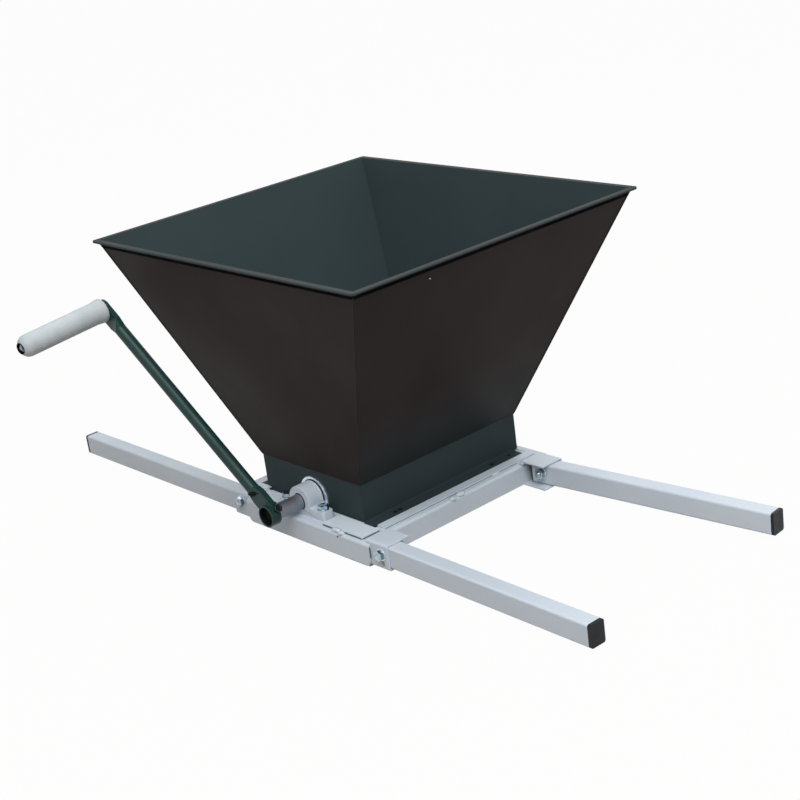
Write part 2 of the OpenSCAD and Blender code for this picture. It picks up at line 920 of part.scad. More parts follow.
// Spur gear with a hub towards the wall; one tooth points along -X
module gear(x, bore_d) {
    hub_r = bore_d / 2 + 5;
    color(bright_steel)
        translate([x, 0, shaft_z])
            difference() {
                union() {
                    along_y(gear_y, gear_end_y)
                        polygon([for (i = [0 : teeth - 1]) each tooth(180 + i * 360 / teeth)]);
                    rod_y(gear_y - hub_l, gear_y + over, hub_r);
                }
                rod_y(gear_y - hub_l - over, gear_end_y + over, bore_d / 2 + slip);
            }
}

module drive_gear() {
    gear(shaft_x, shaft_d);
}

module idler_gear() {
    gear(idler_x, idler_d);
}

// Places children in the crank's frame: local +X runs along the arm and -Y out through the grip
module at_crank() {
    translate([shaft_x, -crank_y, shaft_z])
        rotate([0, -crank_angle, 0])
            rotate([0, 0, -crank_lean])
                children();
}

// Short boss on the shaft's end with a wide mouth, drilled for the set bolt
module crank_boss() {
    color(crank_paint)
        translate([shaft_x, 0, shaft_z])
            difference() {
                ring_y(boss_y0, boss_y1, boss_d / 2, shaft_d / 2 + slip);
                rod_y(boss_y0 - over, boss_y0 + boss_recess, boss_mouth_r);
                translate([0, -set_bolt_y, 0])
                    rotate([0, 90 - set_bolt_angle, 0])
                        cylinder(h = boss_d, r = set_bolt_d / 2 + slip);
            }
}

// Hexagon bolt that clamps the boss to the shaft
module crank_set_bolt() {
    seat_r = shaft_d / 2 + slip;
    head_z = boss_d / 2 + set_bolt_gap;
    color(black_steel)
        translate([shaft_x, -set_bolt_y, shaft_z])
            rotate([0, 90 - set_bolt_angle, 0]) {
                translate([0, 0, seat_r])
                    cylinder(h = head_z - seat_r + over, r = set_bolt_d / 2);
                translate([0, 0, head_z])
                    cylinder(h = set_head_h, r = set_hex_w / sqrt(3), $fn = 6);
            }
}

// A flattened end of the crank's tube
module crank_flat(x0, x1, t, w) {
    translate([x0, -t / 2, -w / 2])
        cube([x1 - x0, t, w]);
}

// The blend from the round tube at x0 to the flat at x1
module crank_blend(x0, x1, t, w) {
    hull() {
        translate([x0, 0, 0])
            rotate([0, x1 > x0 ? 90 : -90, 0])
                cylinder(h = blend_step, r = crank_d / 2, $fn = 32);
        crank_flat(x1 > x0 ? x1 - blend_step : x1, x1 > x0 ? x1 : x1 + blend_step, t, w);
    }
}

// Crank arm: a tube pressed flat at both ends, coped to the boss and drilled for the grip's spindle
module crank_arm() {
    tube_0 = flat_foot + flat_blend;
    tube_1 = crank_r - flat_top - flat_blend;
    color(crank_paint)
        difference() {
            at_crank() {
                crank_flat(boss_d / 2 - crank_foot_t, flat_foot, crank_foot_t, crank_foot_w);
                crank_blend(tube_0, flat_foot, crank_foot_t, crank_foot_w);
                translate([tube_0, 0, 0])
                    rotate([0, 90, 0])
                        difference() {
                            cylinder(h = tube_1 - tube_0, r = crank_d / 2);
                            translate([0, 0, over])
                                cylinder(h = tube_1 - tube_0 - 2 * over, r = crank_d / 2 - crank_wall);
                        }
                crank_blend(tube_1, crank_r - flat_top, crank_flat_t, crank_flat_w);
                crank_flat(crank_r - flat_top, crank_r, crank_flat_t, crank_flat_w);
                translate([crank_r, 0, 0])
                    rod_y(-crank_flat_t / 2, crank_flat_t / 2, crank_flat_w / 2);
            }
            translate([shaft_x, 0, shaft_z])
                rod_y(boss_y0 - boss_l, boss_y1 + boss_l, boss_d / 2);
            at_crank()
                translate([crank_r, 0, 0])
                    rod_y(-crank_flat_t, crank_flat_t, spindle_d / 2 + slip);
        }
}

// Spindle: riveted in the arm, with a round head that keeps the grip on
module grip_spindle() {
    end = -grip_start - grip_l + grip_recess - 0.4;
    color(bright_steel)
        at_crank()
            translate([crank_r, 0, 0]) {
                rod_y(end, crank_flat_t / 2 + spindle_rivet_t, spindle_d / 2);
                rod_y(crank_flat_t / 2, crank_flat_t / 2 + spindle_rivet_t, spindle_d / 2 + 2.5);
                rod_y(end - spindle_head_h, end, spindle_head_r);
            }
}

// Grip: a flared collar, a slight taper and a round end, bored for the spindle and recessed for its head
module grip() {
    taper_l = grip_l - grip_end_r;
    edge_l = grip_collar_l - grip_edge;
    color(grip_plastic)
        at_crank()
            translate([crank_r, -grip_start, 0])
                rotate([90, 0, 0])
                    difference() {
                        rotate_extrude() {
                            round_ring_2d(grip_collar_d / 2, grip_collar_l, grip_edge);
                            polygon([[0, edge_l], [grip_collar_d / 2, edge_l], [grip_d / 2, edge_l + grip_flare_l],
                                [grip_end_d / 2, taper_l], [0, taper_l]]);
                            square([grip_end_d / 2 - grip_end_r, grip_l]);
                            intersection() {
                                translate([grip_end_d / 2 - grip_end_r, taper_l])
                                    circle(r = grip_end_r);
                                square([grip_end_d, grip_l]);
                            }
                        }
                        translate([0, 0, -over])
                            cylinder(h = grip_l + 2 * over, r = spindle_d / 2 + run);
                        translate([0, 0, grip_l - grip_recess])
                            cylinder(h = grip_recess + over, r = spindle_head_r + 0.6);
                    }
}

// Half section of a disc with round edges, from the axis outwards
module round_ring_2d(r, h, edge) {
    square([r - edge, h]);
    translate([0, edge])
        square([r, h - 2 * edge]);
    for (y = [edge, h - edge])
        translate([r - edge, y])
            circle(r = edge);
}

near_rail();
far_rail();
crossbar(-1);  // left_crossbar
crossbar(1);  // right_crossbar
near_left_plate();
near_right_plate();
side_strip(-1);  // left_strip
side_strip(1);  // right_strip
bracket(-1, -1);  // bracket_near_left
bracket(1, -1);  // bracket_near_right
bracket(-1, 1);  // bracket_far_left
bracket(1, 1);  // bracket_far_right
arm(-1, -1);  // arm_near_left
arm(1, -1);  // arm_near_right
arm(-1, 1);  // arm_far_left
arm(1, 1);  // arm_far_right
cap(-1, -1);  // cap_near_left
cap(1, -1);  // cap_near_right
cap(-1, 1);  // cap_far_left
cap(1, 1);  // cap_far_right
arm_bolt(-1, -1);  // arm_bolt_near_left
arm_bolt(1, -1);  // arm_bolt_near_right
arm_bolt(-1, 1);  // arm_bolt_far_left
arm_bolt(1, 1);  // arm_bolt_far_right
arm_nut(-1, -1);  // arm_nut_near_left
arm_nut(1, -1);  // arm_nut_near_right
arm_nut(-1, 1);  // arm_nut_far_left
arm_nut(1, 1);  // arm_nut_far_right
arm_washers();
near_panel();
far_panel();
left_panel();
right_panel();
near_wall();
far_wall();
side_wall(-1);  // left_wall
side_wall(1);  // right_wall
flange_screws();
slot_plate();
bearing_housing();
bearing_bush();
housing_bolt(-1);  // housing_bolt_left
housing_bolt(1);  // housing_bolt_right
far_drive_bush();
far_idler_bush();
near_idler_bush();
guide(-1);  // left_guide
guide(1);  // right_guide
drive_shaft();
driven_roller();
drive_gear();
crank_boss();
crank_arm();
crank_set_bolt();
grip_spindle();
idler_shaft();
idler_roller();
idler_gear();
grip();
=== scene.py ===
# %% [markdown]
# # A hand-cranked grape crusher
#
# The real object is a square sheet hopper on a folded steel frame. A crank turns two rollers in its throat.
# The CAD model already holds every solid at its real size, so this lesson only dresses it. Each cell takes
# one finish or one set of small parts, says what it is on the real crusher, and builds it.
#
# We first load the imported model. Its nodes arrive as meshes whose vertices are in metres, in the crusher's
# own frame: the origin is under the middle of the throat, +X runs along the arms and -Y is the crank's side.

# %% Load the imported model
import json
import math

import bpy
from mathutils import Matrix, Vector


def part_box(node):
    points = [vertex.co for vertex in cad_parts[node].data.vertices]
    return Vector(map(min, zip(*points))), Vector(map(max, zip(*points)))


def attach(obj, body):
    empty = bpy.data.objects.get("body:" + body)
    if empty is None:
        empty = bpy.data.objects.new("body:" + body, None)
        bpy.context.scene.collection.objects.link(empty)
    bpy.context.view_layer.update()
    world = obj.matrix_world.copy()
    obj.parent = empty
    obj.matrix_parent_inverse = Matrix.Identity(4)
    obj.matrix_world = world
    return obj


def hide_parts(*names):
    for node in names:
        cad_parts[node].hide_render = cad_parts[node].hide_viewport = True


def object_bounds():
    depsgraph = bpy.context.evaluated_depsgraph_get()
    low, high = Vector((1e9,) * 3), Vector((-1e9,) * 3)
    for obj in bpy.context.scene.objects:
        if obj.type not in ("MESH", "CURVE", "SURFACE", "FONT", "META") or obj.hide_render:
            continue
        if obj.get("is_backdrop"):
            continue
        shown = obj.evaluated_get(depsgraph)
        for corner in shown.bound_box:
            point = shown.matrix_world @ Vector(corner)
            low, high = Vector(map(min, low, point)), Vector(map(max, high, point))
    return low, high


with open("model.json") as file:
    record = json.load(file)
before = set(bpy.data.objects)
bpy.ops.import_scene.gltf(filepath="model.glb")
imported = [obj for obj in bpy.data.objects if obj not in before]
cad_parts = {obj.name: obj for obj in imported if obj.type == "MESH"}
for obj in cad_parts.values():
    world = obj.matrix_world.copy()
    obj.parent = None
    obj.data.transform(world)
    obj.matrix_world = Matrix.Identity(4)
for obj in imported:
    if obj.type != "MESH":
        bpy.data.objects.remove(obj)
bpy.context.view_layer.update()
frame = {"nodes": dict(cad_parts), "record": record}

nodes = frame["nodes"]

# %% [markdown]
# ## The camera
#
# The photograph looks down on the crusher from beyond the crank, to the right of it, and the picture leans
# a little. The camera's three angles and its distance were solved from the rim, the throat and the ends of
# the arms, whose real sizes are known. We build the camera's axes from those angles, so that each number
# keeps its meaning: how far round, how high, and how much the picture leans.

# %% Camera
CAMERA_AROUND = 0.88209
CAMERA_ABOVE = 0.35449
CAMERA_LEAN = -0.13554
CAMERA_REACH = 2.27279
CAMERA_AIM = (0.00897, 0.09345, 0.036)
FOCAL_SHARE = 2.04506
SENSOR_MM = 36.0


def camera_axes(around, above, lean):
    back = Vector((math.sin(around) * math.cos(above), -math.cos(around) * math.cos(above), math.sin(above)))
    level = Vector((math.cos(around), math.sin(around), 0))
    upright = back.cross(level)
    right = level * math.cos(lean) + upright * math.sin(lean)
    up = upright * math.cos(lean) - level * math.sin(lean)
    return right, up, back


right, up, back = camera_axes(CAMERA_AROUND, CAMERA_ABOVE, CAMERA_LEAN)
shift_right, shift_up, base = CAMERA_AIM
camera_data = bpy.data.cameras.new("camera")
camera_data.sensor_width = SENSOR_MM
camera_data.lens = SENSOR_MM * FOCAL_SHARE
camera_data.clip_start = 0.05
camera = bpy.data.objects.new("camera", camera_data)
bpy.context.scene.collection.objects.link(camera)
place = right * shift_right + up * shift_up + back * CAMERA_REACH + Vector((0, 0, base))
camera.matrix_world = Matrix.Translation(place) @ Matrix((right, up, back)).transposed().to_4x4()
bpy.context.scene.camera = camera
print("camera at", [round(v, 3) for v in place], "lens", round(camera_data.lens, 2))

# %% [markdown]
# ## Light and floor
#
# The photograph is a studio picture on white. A large soft lamp high on the right lights the tops of the
# frame, a weaker one behind keeps the far tops bright, and a weak one at the front keeps the near sides
# readable. The white comes from the world and the floor themselves: both show white to the camera and in
# reflections, while their real colour, which lights the crusher, stays moderate. The floor keeps part of its
# own shading, so the shadow stays.

# %% Studio
scene = bpy.context.scene
scene.view_settings.view_transform = "Standard"
LAMP_AIM = (0, 0, 0.2)


def soft_lamp(name, place, size, watts):
    """A square soft lamp at a place, aimed at the crusher."""
    data = bpy.data.lights.new(name, "AREA")
    data.shape = "RECTANGLE"
    data.size, data.size_y = size, size
    data.energy = watts
    lamp = bpy.data.objects.new(name, data)
    scene.collection.objects.link(lamp)
    lamp.location = place
    lamp.rotation_euler = (Vector(LAMP_AIM) - Vector(place)).to_track_quat("-Z", "Y").to_euler()


soft_lamp("lamp_high", (1.4, -1.0, 2.5), size=2.2, watts=81)
soft_lamp("lamp_near", (-0.5, -2.0, 2.3), size=1.6, watts=5)
soft_lamp("lamp_back", (-0.9, 1.2, 2.4), size=1.8, watts=22)
print("lamps ready")

# %% White world and floor
AIR_STRENGTH = 0.25
FLOOR_COLOUR, FLOOR_SIZE, FLOOR_WHITE = (0.37, 0.33, 0.3, 1), 40, 0.975


def white_to_eye(tree, shader, share):
    """Mixes a shader with plain white for camera, glossy and transmission rays."""
    link = tree.links.new
    path = tree.nodes.new("ShaderNodeLightPath")
    seen = path.outputs["Is Camera Ray"]
    for ray in ("Is Glossy Ray", "Is Transmission Ray"):
        either = tree.nodes.new("ShaderNodeMath")
        either.operation = "MAXIMUM"
        link(seen, either.inputs[0])
        link(path.outputs[ray], either.inputs[1])
        seen = either.outputs[0]
    part = tree.nodes.new("ShaderNodeMath")
    part.operation = "MULTIPLY"
    part.inputs[1].default_value = share
    link(seen, part.inputs[0])
    mix = tree.nodes.new("ShaderNodeMixShader")
    link(part.outputs[0], mix.inputs[0])
    link(shader.outputs[0], mix.inputs[1])
    return mix


world = bpy.data.worlds.new("studio")
scene.world = world
world.use_nodes = True
tree = world.node_tree
air = tree.nodes["Background"]
air.inputs["Color"].default_value = (1, 1, 1, 1)
air.inputs["Strength"].default_value = AIR_STRENGTH
white = tree.nodes.new("ShaderNodeBackground")
white.inputs["Color"].default_value = (1, 1, 1, 1)
white.inputs["Strength"].default_value = 1.0
mix = white_to_eye(tree, air, 1.0)
tree.links.new(white.outputs[0], mix.inputs[2])
tree.links.new(mix.outputs[0], tree.nodes["World Output"].inputs["Surface"])

bpy.ops.mesh.primitive_plane_add(size=FLOOR_SIZE, location=(0, 0, 0))
floor = bpy.context.object
floor.name = "floor"
floor_paint = bpy.data.materials.new("floor_white")
floor_paint.use_nodes = True
tree = floor_paint.node_tree
matt = tree.nodes["Principled BSDF"]
matt.inputs["Base Color"].default_value = FLOOR_COLOUR
matt.inputs["Roughness"].default_value = 0.9
matt.inputs["Specular IOR Level"].default_value = 0.1
glow = tree.nodes.new("ShaderNodeEmission")
mix = white_to_eye(tree, matt, FLOOR_WHITE)
tree.links.new(glow.outputs[0], mix.inputs[2])
tree.links.new(mix.outputs[0], tree.nodes["Material Output"].inputs["Surface"])
floor.data.materials.append(floor_paint)
floor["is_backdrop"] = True
print("studio ready")

# %% [markdown]
# ## Effects that several finishes share
#
# Paint and metal never look flat. Each effect is a node group with named inputs and outputs, built once and
# placed in a material with that finish's own values:
#
# * *uneven coat* mixes a main colour with a darker and a lighter one in soft patches and fine specks;
# * *drawn grain* gives fine lines along one axis, as on turned, drawn or extruded metal;
# * *edge mask* is white near sharp edges, where paint thins and metal shines; on paint it also carries
#   painted light, a lighter edge on the frame and a darker one on the hopper;
# * *painted floor reflection* is white on faces that look down, where the hopper's paint takes a browner
#   colour: a painted warm reflection from the floor;
# * *painted rim shade* is white on the rim's top, which takes a darker colour as painted shade.

# %% Node helpers


def new_group(name, inputs, outputs):
    """An empty node group with inputs given as (name, kind, default) and outputs as (name, kind)."""
    group = bpy.data.node_groups.new(name, "ShaderNodeTree")
    for socket, kind, value in inputs:
        group.interface.new_socket(socket, in_out="INPUT", socket_type=kind).default_value = value
    for socket, kind in outputs:
        group.interface.new_socket(socket, in_out="OUTPUT", socket_type=kind)
    return group, group.nodes.new("NodeGroupInput"), group.nodes.new("NodeGroupOutput")


def add(tree, kind, links=(), **values):
    """A node with socket values set by name or index, and links as (socket, source)."""
    node = tree.nodes.new(kind)
    for key, value in values.items():
        if key.startswith("in_"):
            slot = key[3:].replace("_", " ")
            slot = int(slot) if slot.isdigit() else slot
            node.inputs[slot].default_value = value
        else:
            setattr(node, key, value)
    for socket, source in links:
        tree.links.new(source, node.inputs[socket])
    return node


def multiply(tree, first, second):
    return add(tree, "ShaderNodeMath", [(0, first), (1, second)], operation="MULTIPLY").outputs[0]


def mix_colour(tree, factor, first, second):
    """A mix of two colours by a factor, where each may be a value or a socket."""
    node = add(tree, "ShaderNodeMix", data_type="RGBA")
    for socket, value in (("Factor", factor), ("A", first), ("B", second)):
        target = next(s for s in node.inputs if s.name == socket and s.enabled)
        if isinstance(value, bpy.types.NodeSocket):
            tree.links.new(value, target)
        else:
            target.default_value = value
    return next(s for s in node.outputs if s.enabled)


def stretch(tree, value, low, high, to_low=0.0, to_high=1.0):
    """Maps a span of a value onto 0 to 1, or onto another span, and cuts off what lies outside."""
    node = add(tree, "ShaderNodeMapRange", [(0, value)])
    for index, number in ((1, low), (2, high), (3, to_low), (4, to_high)):
        node.inputs[index].default_value = number
    return node.outputs[0]


COLOUR, FLOAT, VECTOR = "NodeSocketColor", "NodeSocketFloat", "NodeSocketVector"
print("helpers ready")

# %% Uneven coat
PATCH_SPAN, SPECK_SPAN, ROUGH_SPAN = (0.38, 0.66), (0.55, 0.8), (0.3, 0.7)


def make_uneven_coat():
    group, given, out = new_group(
        "uneven coat",
        [("Main", COLOUR, (0.5, 0.5, 0.5, 1)), ("Patch", COLOUR, (0.4, 0.4, 0.4, 1)),
         ("Speck", COLOUR, (0.6, 0.6, 0.6, 1)), ("Patch size", FLOAT, 6.0), ("Patch share", FLOAT, 0.5),
         ("Speck size", FLOAT, 700.0), ("Speck share", FLOAT, 0.3), ("Low roughness", FLOAT, 0.3),
         ("High roughness", FLOAT, 0.5)],
        [("Colour", COLOUR), ("Roughness", FLOAT), ("Height", FLOAT)])
    where = add(group, "ShaderNodeTexCoord").outputs["Object"]
    patches = add(group, "ShaderNodeTexNoise", [("Vector", where), ("Scale", given.outputs["Patch size"])],
                  in_Detail=5.0, in_Roughness=0.55, in_Distortion=0.4).outputs["Fac"]
    specks = add(group, "ShaderNodeTexNoise", [("Vector", where), ("Scale", given.outputs["Speck size"])],
                 in_Detail=2.0, in_Roughness=0.6).outputs["Fac"]
    patch_part = multiply(group, stretch(group, patches, *PATCH_SPAN), given.outputs["Patch share"])
    speck_part = multiply(group, stretch(group, specks, *SPECK_SPAN), given.outputs["Speck share"])
    colour = mix_colour(group, patch_part, given.outputs["Main"], given.outputs["Patch"])
    colour = mix_colour(group, speck_part, colour, given.outputs["Speck"])
    rough = add(group, "ShaderNodeMapRange",
                [(0, patches), (3, given.outputs["Low roughness"]), (4, given.outputs["High roughness"])],
                in_1=ROUGH_SPAN[0], in_2=ROUGH_SPAN[1])
    group.links.new(colour, out.inputs["Colour"])
    group.links.new(rough.outputs[0], out.inputs["Roughness"])
    group.links.new(specks, out.inputs["Height"])
    return group


UNEVEN_COAT = make_uneven_coat()
print("group", UNEVEN_COAT.name)

# %% Drawn grain
LEVEL_SPAN, CLOUD_SCALE = (0.7, 1.3), 35.0


def make_drawn_grain():
    group, given, out = new_group(
        "drawn grain",
        [("Stretch", VECTOR, (1.0, 1.0, 1.0)), ("Dark", COLOUR, (0.4, 0.4, 0.4, 1)),
         ("Bright", COLOUR, (0.7, 0.7, 0.7, 1)), ("Low roughness", FLOAT, 0.2),
         ("High roughness", FLOAT, 0.4)],
        [("Colour", COLOUR), ("Roughness", FLOAT), ("Height", FLOAT)])
    where = add(group, "ShaderNodeTexCoord").outputs["Object"]
    lines_at = add(group, "ShaderNodeVectorMath", [(0, where), (1, given.outputs["Stretch"])],
                   operation="MULTIPLY").outputs[0]
    lines = add(group, "ShaderNodeTexNoise", [("Vector", lines_at)], in_Scale=1.0, in_Detail=3.0,
                in_Roughness=0.6).outputs["Fac"]
    cloud = add(group, "ShaderNodeTexNoise", [("Vector", where)], in_Scale=CLOUD_SCALE,
                in_Detail=3.0).outputs["Fac"]
    both = add(group, "ShaderNodeMath", [(0, lines), (1, cloud)], operation="ADD").outputs[0]
    level = stretch(group, both, *LEVEL_SPAN)
    colour = mix_colour(group, level, given.outputs["Dark"], given.outputs["Bright"])
    rough = add(group, "ShaderNodeMapRange", [(0, level), (3, given.outputs["High roughness"]),
                                              (4, given.outputs["Low roughness"])])
    group.links.new(colour, out.inputs["Colour"])
    group.links.new(rough.outputs[0], out.inputs["Roughness"])
    group.links.new(lines, out.inputs["Height"])
    return group


DRAWN_GRAIN = make_drawn_grain()
print("group", DRAWN_GRAIN.name)

# %% Edge mask
TURN_SPAN, CHIP_SPAN = (0.995, 0.88), (0.42, 0.6)


def make_edge_mask():
    group, given, out = new_group("edge mask", [("Width", FLOAT, 0.001), ("Break up", FLOAT, 120.0)],
                                  [("Mask", FLOAT)])
    geometry = add(group, "ShaderNodeNewGeometry")
    rounded = add(group, "ShaderNodeBevel", [("Radius", given.outputs["Width"])], samples=6).outputs[0]
    along = add(group, "ShaderNodeVectorMath", [(0, rounded), (1, geometry.outputs["Normal"])],
                operation="DOT_PRODUCT").outputs["Value"]
    edge = stretch(group, along, *TURN_SPAN)
    where = add(group, "ShaderNodeTexCoord").outputs["Object"]
    chips = add(group, "ShaderNodeTexNoise", [("Vector", where), ("Scale", given.outputs["Break up"])],
                in_Detail=4.0, in_Roughness=0.7).outputs["Fac"]
    group.links.new(multiply(group, edge, stretch(group, chips, *CHIP_SPAN)), out.inputs["Mask"])
    return group


EDGE_MASK = make_edge_mask()
print("group", EDGE_MASK.name)

# %% Faces that look down, for a painted floor reflection
SIDE_SPAN, SIDE_SHARE = (0.4, 0.8), 0.45


def normal_and_height(group):
    """The surface's normal by axis, and its height above the floor."""
    geometry = add(group, "ShaderNodeNewGeometry")
    normal = add(group, "ShaderNodeSeparateXYZ", [(0, geometry.outputs["Normal"])])
    height = add(group, "ShaderNodeSeparateXYZ", [(0, geometry.outputs["Position"])]).outputs["Z"]
    return normal.outputs, height


# Mask for painted light: on the hopper, faces that look down take a browner colour, a painted warm reflection
# of the floor.
def make_painted_floor_reflection():
    """White on faces that look down, fading out low on the side that faces +X."""
    group, given, out = new_group(
        "painted floor reflection",
        [("Start", FLOAT, -0.04), ("Full", FLOAT, -0.2), ("Low", FLOAT, 0.09), ("High", FLOAT, 0.22)],
        [("Mask", FLOAT)])
    normal, height = normal_and_height(group)
    mask = add(group, "ShaderNodeMapRange", [(0, normal["Z"]), (1, given.outputs["Start"]),
                                             (2, given.outputs["Full"])]).outputs[0]
    low = add(group, "ShaderNodeMapRange",
              [(0, height), (1, given.outputs["High"]), (2, given.outputs["Low"])],
              interpolation_type="SMOOTHSTEP").outputs[0]
    low_side = multiply(group, stretch(group, normal["X"], *SIDE_SPAN), low)
    rest = stretch(group, low_side, 0, 1, 1, SIDE_SHARE)
    group.links.new(multiply(group, mask, rest), out.inputs["Mask"])
    return group


PAINTED_FLOOR_REFLECTION = make_painted_floor_reflection()
print("group", PAINTED_FLOOR_REFLECTION.name)

# %% Faces that look up, for painted shade on the rim
UP_SPAN = (0.7, 0.95)


# Mask for painted shade: the rim's top takes a darker colour.
def make_painted_rim_shade():
    """White on faces that look up and lie above a height."""
    group, given, out = new_group("painted rim shade", [("Above", FLOAT, 0.38)], [("Mask", FLOAT)])
    normal, height = normal_and_height(group)
    high = add(group, "ShaderNodeMath", [(0, height), (1, given.outputs["Above"])],
               operation="GREATER_THAN").outputs[0]
    group.links.new(multiply(group, stretch(group, normal["Z"], *UP_SPAN), high), out.inputs["Mask"])
    return group


PAINTED_RIM_SHADE = make_painted_rim_shade()
print("group", PAINTED_RIM_SHADE.name)

# %% [markdown]
# ## Finishes
#
# One function lays a coat of paint and one makes bare metal. Each keeps its Principled shader in the
# material itself, with every constant set straight on the shader's sockets, and takes only what varies over
# the surface from the groups.

# %% Paint and metal
METAL_EDGE, GRAIN_DEPTH = 0.0006, 0.0002


def srgb(r, g, b):
    """A colour as picked from a picture, from 0 to 255, made linear."""
    linear = [v / 255 / 12.92 if v <= 10 else ((v / 255 + 0.055) / 1.055) ** 2.4 for v in (r, g, b)]
    return (*linear, 1)


def use_group(tree, group, **values):
    """Places a group in a material, with its inputs set by name."""
    node = tree.nodes.new("ShaderNodeGroup")
    node.node_tree = group
    for key, value in values.items():
        node.inputs[key.replace("_", " ")].default_value = value
    return node


def bump(tree, shader, height, distance, strength):
    node = add(tree, "ShaderNodeBump", [("Height", height)], in_Strength=strength, in_Distance=distance)
    tree.links.new(node.outputs[0], shader.inputs["Normal"])


def painted(name, main, patch, speck, edge_wear_and_painted_light, patch_size, rough, specular, patch_share=0.5, speck_size=900.0,
            speck_share=0.3, edge_width=0.0004, peel=(0.0003, 0.3), floor_reflection=None, top=None):
    """Paint: an uneven coat with another colour along its edges, for wear and painted light there, and a fine
    orange peel.

    The peel is the bump's depth and strength. Faces that look down may take floor_reflection, a painted warm
    reflection of the floor, and the rim's top may take top, a painted shade.
    """
    material = bpy.data.materials.new(name)
    material.use_nodes = True
    tree = material.node_tree
    shader = tree.nodes["Principled BSDF"]
    shader.inputs["Specular IOR Level"].default_value = specular
    body = use_group(tree, UNEVEN_COAT, Main=main, Patch=patch, Speck=speck, Patch_size=patch_size,
                     Patch_share=patch_share, Speck_size=speck_size, Speck_share=speck_share,
                     Low_roughness=rough[0], High_roughness=rough[1])
    edge = use_group(tree, EDGE_MASK, Width=edge_width)
    colour = body.outputs["Colour"]
    if floor_reflection:
        facing = use_group(tree, PAINTED_FLOOR_REFLECTION)
        colour = mix_colour(tree, facing.outputs["Mask"], colour, floor_reflection)
    colour = mix_colour(tree, edge.outputs["Mask"], colour, edge_wear_and_painted_light)
    if top:
        facing = use_group(tree, PAINTED_RIM_SHADE)
        colour = mix_colour(tree, facing.outputs["Mask"], colour, top)
    tree.links.new(colour, shader.inputs["Base Color"])
    tree.links.new(body.outputs["Roughness"], shader.inputs["Roughness"])
    bump(tree, shader, body.outputs["Height"], *peel)
    return material


def bare_metal(name, dark, bright, stretch_by, rough, tarnish, relief=0.12):
    """Metal: drawn lines, darker towards its edges and in soft clouds."""
    material = bpy.data.materials.new(name)
    material.use_nodes = True
    tree = material.node_tree
    shader = tree.nodes["Principled BSDF"]
    shader.inputs["Metallic"].default_value = 1.0
    grain = use_group(tree, DRAWN_GRAIN, Stretch=stretch_by, Dark=dark, Bright=bright,
                      Low_roughness=rough[0], High_roughness=rough[1])
    edge = use_group(tree, EDGE_MASK, Width=METAL_EDGE)
    colour = mix_colour(tree, edge.outputs["Mask"], grain.outputs["Colour"], tarnish)
    tree.links.new(colour, shader.inputs["Base Color"])
    tree.links.new(grain.outputs["Roughness"], shader.inputs["Roughness"])
    bump(tree, shader, grain.outputs["Height"], GRAIN_DEPTH, relief)
    return material


print("finish makers ready")

# %% Paints
PAINT_PEEL = (0.0004, 0.12)
# The frame's lighter edge colour is wear and a painted highlight along its edges.
FRAME_PAINT = painted("frame_paint", srgb(203, 213, 223), srgb(195, 207, 219), srgb(217, 224, 230),
                      srgb(216, 224, 230), 9.0, (0.36, 0.52), 0.4, edge_width=0.0012, peel=PAINT_PEEL)
# A lighter copy of the frame paint for the near seat plates: painted light where the hopper shades them.
PLATE_PAINT_WITH_PAINTED_LIGHT = painted("plate_paint_with_painted_light", srgb(216, 228, 238), srgb(208, 221, 233), srgb(228, 236, 243),
                      srgb(226, 234, 240), 14.0, (0.36, 0.52), 0.4, edge_width=0.0012, peel=PAINT_PEEL)
# The hopper's faces that look down take a browner colour, a painted floor reflection. Its rim's top and its
# edges take darker colours, painted shade.
HOPPER_PAINT = painted("hopper_paint", srgb(53, 64, 67), srgb(47, 58, 60), srgb(62, 73, 76),
                       srgb(40, 45, 46), 5.0, (0.4, 0.52), 0.05, speck_size=800.0, edge_width=0.0009,
                       peel=PAINT_PEEL, floor_reflection=srgb(38, 29, 28), top=srgb(40, 45, 45))
CRANK_PAINT = painted("crank_paint", srgb(30, 60, 57), srgb(22, 48, 46), srgb(46, 80, 76),
                      srgb(40, 72, 68), 22.0, (0.3, 0.48), 0.22, patch_share=0.6, speck_size=700.0,
                      edge_width=0.0006, peel=(0.0004, 0.07))
print("paints ready")

# %% Plastics
CAP_PLASTIC = painted("cap_plastic", srgb(16, 20, 25), srgb(11, 14, 18), srgb(30, 35, 40),
                      srgb(48, 53, 58), 40.0, (0.4, 0.6), 0.25, speck_size=1500.0, speck_share=0.4,
                      edge_width=0.0008)
GRIP_PLASTIC = painted("grip_plastic", srgb(190, 198, 202), srgb(176, 185, 190), srgb(162, 169, 173),
                       srgb(200, 206, 209), 28.0, (0.48, 0.65), 0.3, patch_share=0.6, speck_size=1300.0,
                       edge_width=0.0012, peel=(0.0006, 0.3))
print("plastics ready")

# %% Metals
ZINC = bare_metal("zinc", srgb(104, 112, 112), srgb(186, 206, 220), (300, 300, 300), (0.16, 0.34),
                  srgb(96, 106, 112))
SHAFT_STEEL = bare_metal("shaft_steel", srgb(138, 142, 151), srgb(153, 158, 167), (30, 420, 30), (0.42, 0.56),
                         srgb(160, 164, 170), relief=0.03)
# A lightened steel for the slot plate and the arm washers: painted light where they sit in shade.
STEEL_WITH_PAINTED_LIGHT = bare_metal("steel_with_painted_light", srgb(206, 216, 226), srgb(224, 233, 240), (300, 300, 300), (0.3, 0.45),
                        srgb(214, 224, 232))
BLACK_STEEL = bare_metal("black_steel", srgb(30, 34, 37), srgb(56, 60, 64), (300, 300, 300), (0.35, 0.55),
                         srgb(96, 100, 104))
BRONZE = bare_metal("bronze", srgb(146, 108, 62), srgb(196, 156, 100), (60, 1200, 60), (0.25, 0.45),
                    srgb(210, 176, 124))
ROLLER_ALLOY = bare_metal("roller_alloy", srgb(160, 162, 164), srgb(205, 207, 210), (500, 12, 500),
                          (0.25, 0.42), srgb(226, 228, 230))
print("metals ready")
